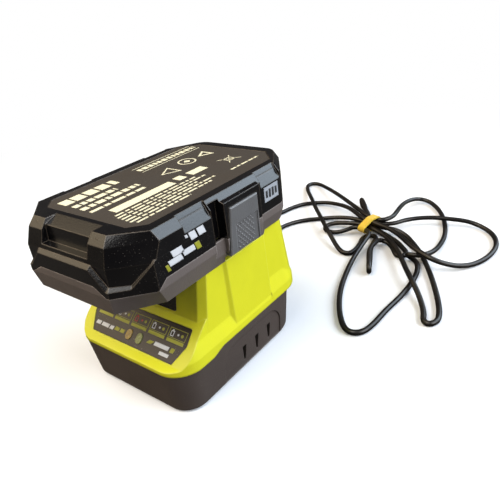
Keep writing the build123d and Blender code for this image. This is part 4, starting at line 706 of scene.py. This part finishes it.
# %% Status panel print
deck_angle = math.radians(41.2)
deck_foot = (0, -39.4, 26.7)
panel_drop = 0.2               # the film's face lies this far under the deck's
deck_up = (0, math.cos(deck_angle), math.sin(deck_angle))
panel_origin = (0, deck_foot[1] + panel_drop * math.sin(deck_angle),
                deck_foot[2] - panel_drop * math.cos(deck_angle))
frame_pitch = 11.85
frame_offset = 0.2             # the middle frame lies this far to the right
frame_y = 13.6
dot_y = 13.5
bar_lean = 0.2
lime_marks = bmesh.new()
white_marks = bmesh.new()
red_marks = bmesh.new()
for number in range(-2, 3):
    middle = frame_offset + number * frame_pitch
    sign_sheet = red_marks if number == 0 else white_marks
    hollow(lime_marks, add_patch(lime_marks, middle, frame_y, 10.6, 4.6), 0.28)
    add_patch(lime_marks, middle, 10.2, 10.4, 1.6)
    hollow(sign_sheet, add_patch(sign_sheet, middle - 3.2, 13.3, 2.0, 2.6), 0.38)
    add_patch(sign_sheet, middle - 3.2, 14.9, 1.0, 0.5)
    add_round(sign_sheet, middle + 0.4, dot_y, 0.55, sides=16)
    add_round(lime_marks, middle + 2.8, dot_y, 0.75, sides=16)
for bar_from, bar_long in ((-27.4, 3.4), (-23.2, 5.2), (-17.2, 2.6)):
    add_patch(white_marks, bar_from + bar_long / 2, 5.0, bar_long, 1.9, lean=bar_lean)
for bar_from, bar_long in ((-13.8, 3.2), (-9.8, 2.8)):
    add_patch(lime_marks, bar_from + bar_long / 2, 5.4, bar_long, 1.9, lean=bar_lean)
add_patch(lime_marks, 10.6, 5.9, 3.0, 1.7, lean=1.0)
add_patch(white_marks, 17.8, 6.2, 9.0, 1.9, lean=bar_lean)
add_patch(lime_marks, 24.6, 6.2, 2.2, 2.2, lean=bar_lean)
add_patch(white_marks, 20.8, 3.2, 5.8, 1.6, lean=bar_lean)
for marks, name, ink in ((lime_marks, "panel_lime_marks", lime_ink),
                         (white_marks, "panel_white_marks", white_ink),
                         (red_marks, "panel_red_marks", red_ink)):
    print_sheet(marks, name, panel_origin, (1, 0, 0), deck_up, ink, "charger")

# %% [markdown]
# ## Marks on the pack's sides
#
# Each long side has a slanted group of plain bars near the front and a bare pale plate near the
# back. One loop makes both sides: on the left side the sheet's own X runs the other way, so the
# marks are mirrored in place and still face outwards.

# %% Side marks
side_x = 39.05
side_lean = -0.35
plate_z = 83.6
pale_plate = moulded("pale_plate", (0.40, 0.43, 0.48), (0.34, 0.37, 0.42), 0.4, dust=0.2,
                     grain_depth=0.2)
for side, side_name in ((1, "right"), (-1, "left")):
    side_white = bmesh.new()
    side_lime = bmesh.new()
    side_plate = bmesh.new()
    side_bars = bmesh.new()
    for y, z, wide, high in ((-23.6, 85.6, 3.6, 3.6), (-18.8, 85.6, 4.0, 3.6),
                             (-27.2, 86.6, 1.4, 1.4), (-33.0, 82.9, 6.0, 3.0),
                             (-34.6, 79.9, 7.2, 2.6), (-27.0, 80.6, 6.6, 2.6)):
        add_patch(side_white, side * y, z, wide, high, lean=side * side_lean)
    for y, z, wide, high in ((-39.0, 78.6, 1.6, 3.0), (-21.8, 80.4, 2.8, 3.4)):
        add_patch(side_lime, side * y, z, wide, high, lean=side * side_lean)
    add_patch(side_plate, side * 29.8, plate_z, 11.0, 7.2)
    for y, high in ((26.2, 3.4), (28.6, 4.2), (31.0, 4.2), (33.4, 3.4)):
        add_patch(side_bars, side * y, plate_z, 1.6, high)
    for marks, name, ink, lift in ((side_white, "side_marks_white_", white_ink, 0),
                                   (side_lime, "side_marks_lime_", lime_ink, 0),
                                   (side_plate, "side_plate_", pale_plate, 0),
                                   (side_bars, "side_plate_bars_", dark_ink, INK)):
        print_sheet(marks, name + side_name, (side * (side_x + lift), 0, 0), (0, side, 0),
                    (0, 0, 1), ink, "battery_pack")

# %% [markdown]
# ## Grip dots on the release buttons
#
# The lower half of each button has rows of small raised dots, coloured lighter than the button as a
# painted highlight on their tops. A dot starts as an icosphere with few faces, because it is
# repeated many times, and is flattened along the button's outward direction.

# %% Grip dots
# The dots' lighter grey is a painted highlight; they are the button's own plastic.
grip_dots_painted_highlight = moulded("grip_dots_painted_highlight", (0.20, 0.20, 0.205), (0.16, 0.16, 0.165), 0.35, dust=0.05,
                    grain_depth=0.2)
grip_face_x = 40.3
grip_rear_y = 1.6              # the first column and the lowest row
grip_low_z = 68.4
grip_rows = 9
grip_columns = 5
grip_pitch = 2.4
grip_row_pitch = 1.35
dot_radius = 0.55
dot_flatness = 0.8             # thickness of a dot as a share of its width
for side, side_name in ((1, "right"), (-1, "left")):
    dots = bmesh.new()
    for row in range(grip_rows):
        for column in range(grip_columns):
            ball = bmesh.ops.create_icosphere(dots, subdivisions=1, radius=dot_radius)["verts"]
            bmesh.ops.scale(dots, vec=(dot_flatness, 1, 1), verts=ball)
            spot = (side * grip_face_x,
                    grip_rear_y + grip_pitch * (column + 0.5 * (row % 2)),
                    grip_low_z + grip_row_pitch * row)
            bmesh.ops.translate(dots, vec=spot, verts=ball)
    bmesh.ops.scale(dots, vec=(MM, MM, MM), verts=dots.verts[:])
    grip = place_piece(dots, "grip_dots_" + side_name, grip_dots_painted_highlight,
                       "latch_" + side_name + "_body")
    smooth(grip)

# %% [markdown]
# ## The coil springs
#
# Behind each button a small coil spring pushes it out. The coil is a ring of wire section that is
# spun round the spring's axis while each step also moves it along, which makes a helix. The solids
# stand in for it as plain sleeves, so the coils replace them.

# %% Coil springs
spring_seat_x = 28.0
spring_length = 9.9
spring_middle = (6.8, 81.0)
coil_radius = 2.65
wire_radius = 0.33
wire_sides = 8
coil_turns = 5
coil_steps = 120
for side, side_name in ((1, "right"), (-1, "left")):
    coil = bmesh.new()
    section = bmesh.ops.create_circle(coil, segments=wire_sides, radius=wire_radius)["verts"]
    start = Matrix.Translation((spring_seat_x + wire_radius, spring_middle[0],
                                spring_middle[1] + coil_radius))
    upright = Matrix.Rotation(math.radians(90), 4, "X")
    bmesh.ops.transform(coil, matrix=start @ upright, verts=section)
    run = (spring_length - 2 * wire_radius) / coil_steps
    bmesh.ops.spin(coil, geom=coil.verts[:] + coil.edges[:], cent=(0, *spring_middle),
                   axis=(1, 0, 0), dvec=(run, 0, 0), angle=2 * math.pi * coil_turns,
                   steps=coil_steps, use_duplicate=False)
    ends = [edge for edge in coil.edges if edge.is_boundary]
    bmesh.ops.holes_fill(coil, edges=ends, sides=0)
    bmesh.ops.scale(coil, vec=(side * MM, MM, MM), verts=coil.verts[:])
    bmesh.ops.recalc_face_normals(coil, faces=coil.faces[:])
    spring = place_piece(coil, "coil_spring_" + side_name, spring_steel,
                         "battery_pack")
    smooth(spring)
    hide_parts("latch_spring_" + side_name)
    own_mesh(spring)

# %% [markdown]
# ## Floor, light and surroundings
#
# The charger stands on a plain pale floor. Dark plastic shows mostly what it reflects, so the
# surroundings matter more than the lamps: a bright cool window behind on the right, a bright warm
# ceiling high on the left, and a dim room elsewhere. The floor is pale for the camera alone, and
# dark in what the plastic mirrors. The world's colour is mixed by direction. Two soft lamps of
# about the same power light the scene, one from the right and one from above the front.

# %% Floor
floor_radius = 9.0
fade_from, fade_to = 0.16, 0.55   # where the painted floor turns into plain white, in metres
floor_parts = bmesh.new()
bmesh.ops.create_circle(floor_parts, cap_ends=True, segments=96, radius=floor_radius)
floor_mesh = bpy.data.meshes.new("studio_floor")
floor_parts.to_mesh(floor_mesh)
floor_parts.free()
floor_paint, paint_tree, paint = new_material("studio_floor")
paint.inputs["Roughness"].default_value = 0.9
seen_by_camera = add_node(paint_tree, "ShaderNodeLightPath").outputs["Is Camera Ray"]
mirrored_floor, seen_floor = rgb((0.030, 0.027, 0.025)), rgb((0.91, 0.945, 1.0))
paint_tree.links.new(mix_colors(paint_tree, seen_by_camera, mirrored_floor, seen_floor),
                     paint.inputs["Base Color"])
floor_place = add_node(paint_tree, "ShaderNodeTexCoord").outputs["Object"]
distance = add_node(paint_tree, "ShaderNodeVectorMath", {0: floor_place}, operation="LENGTH")
far_away = stretch(paint_tree, distance.outputs["Value"], fade_from, fade_to,
                   interpolation_type="SMOOTHSTEP")
plain_white = add_node(paint_tree, "ShaderNodeEmission",
                       {"Color": rgb((1, 1, 1)), "Strength": 1.0}).outputs[0]
white_share = calc(paint_tree, "MULTIPLY", far_away, seen_by_camera)
blend = add_node(paint_tree, "ShaderNodeMixShader",
                 {0: white_share, 1: paint.outputs[0], 2: plain_white})
paint_tree.links.new(blend.outputs[0], paint_tree.nodes["Material Output"].inputs["Surface"])
floor_mesh.materials.append(floor_paint)
floor = bpy.data.objects.new("studio_floor", floor_mesh)
bpy.context.scene.collection.objects.link(floor)


# %% Lamps
def soft_lamp(name, place, aim, size, watts, color):
    """A square lamp at a place in metres that faces another."""
    lamp_data = bpy.data.lights.new(name, "AREA")
    lamp_data.size = size
    lamp_data.energy = watts
    lamp_data.color = color
    lamp = bpy.data.objects.new(name, lamp_data)
    lamp.location = place
    lamp.rotation_mode = "QUATERNION"
    lamp.rotation_quaternion = (Vector(aim) - Vector(place)).to_track_quat("-Z", "Y")
    bpy.context.scene.collection.objects.link(lamp)


charger_middle = (0.0, 0.0, 0.05)
soft_lamp("window_lamp", (0.80, 0.08, 0.52), charger_middle, 0.6, 7.6, (0.98, 0.99, 1.0))
soft_lamp("ceiling_lamp", (-0.12, -0.50, 0.84), charger_middle, 0.8, 6.2, (1.0, 0.985, 0.96))

# %% Surroundings
world = bpy.data.worlds.new("room")
bpy.context.scene.world = world
world.use_nodes = True
room = world.node_tree
direction = add_node(room, "ShaderNodeTexCoord").outputs["Generated"]


def toward(vector, low, high):
    """How far the direction looks towards a vector, from 0 at low to 1 at high."""
    amount = add_node(room, "ShaderNodeVectorMath", {0: direction, 1: vector},
                      operation="DOT_PRODUCT")
    return stretch(room, amount.outputs["Value"], low, high)


dim_room = rgb((0.070, 0.066, 0.064))
warm_ceiling = rgb((2.30, 1.85, 1.25))
cool_window = rgb((3.60, 4.20, 4.80))
half_done = mix_colors(room, toward((-0.55, -0.43, 0.72), 0.74, 0.95), dim_room, warm_ceiling)
room_color = mix_colors(room, toward((0.48, 0.70, 0.52), 0.86, 0.97), half_done, cool_window)
seen_directly = add_node(room, "ShaderNodeLightPath").outputs["Is Camera Ray"]
room.links.new(mix_colors(room, seen_directly, room_color, rgb((1, 1, 1))),
               room.nodes["Background"].inputs["Color"])
bpy.context.scene.view_settings.view_transform = "Standard"
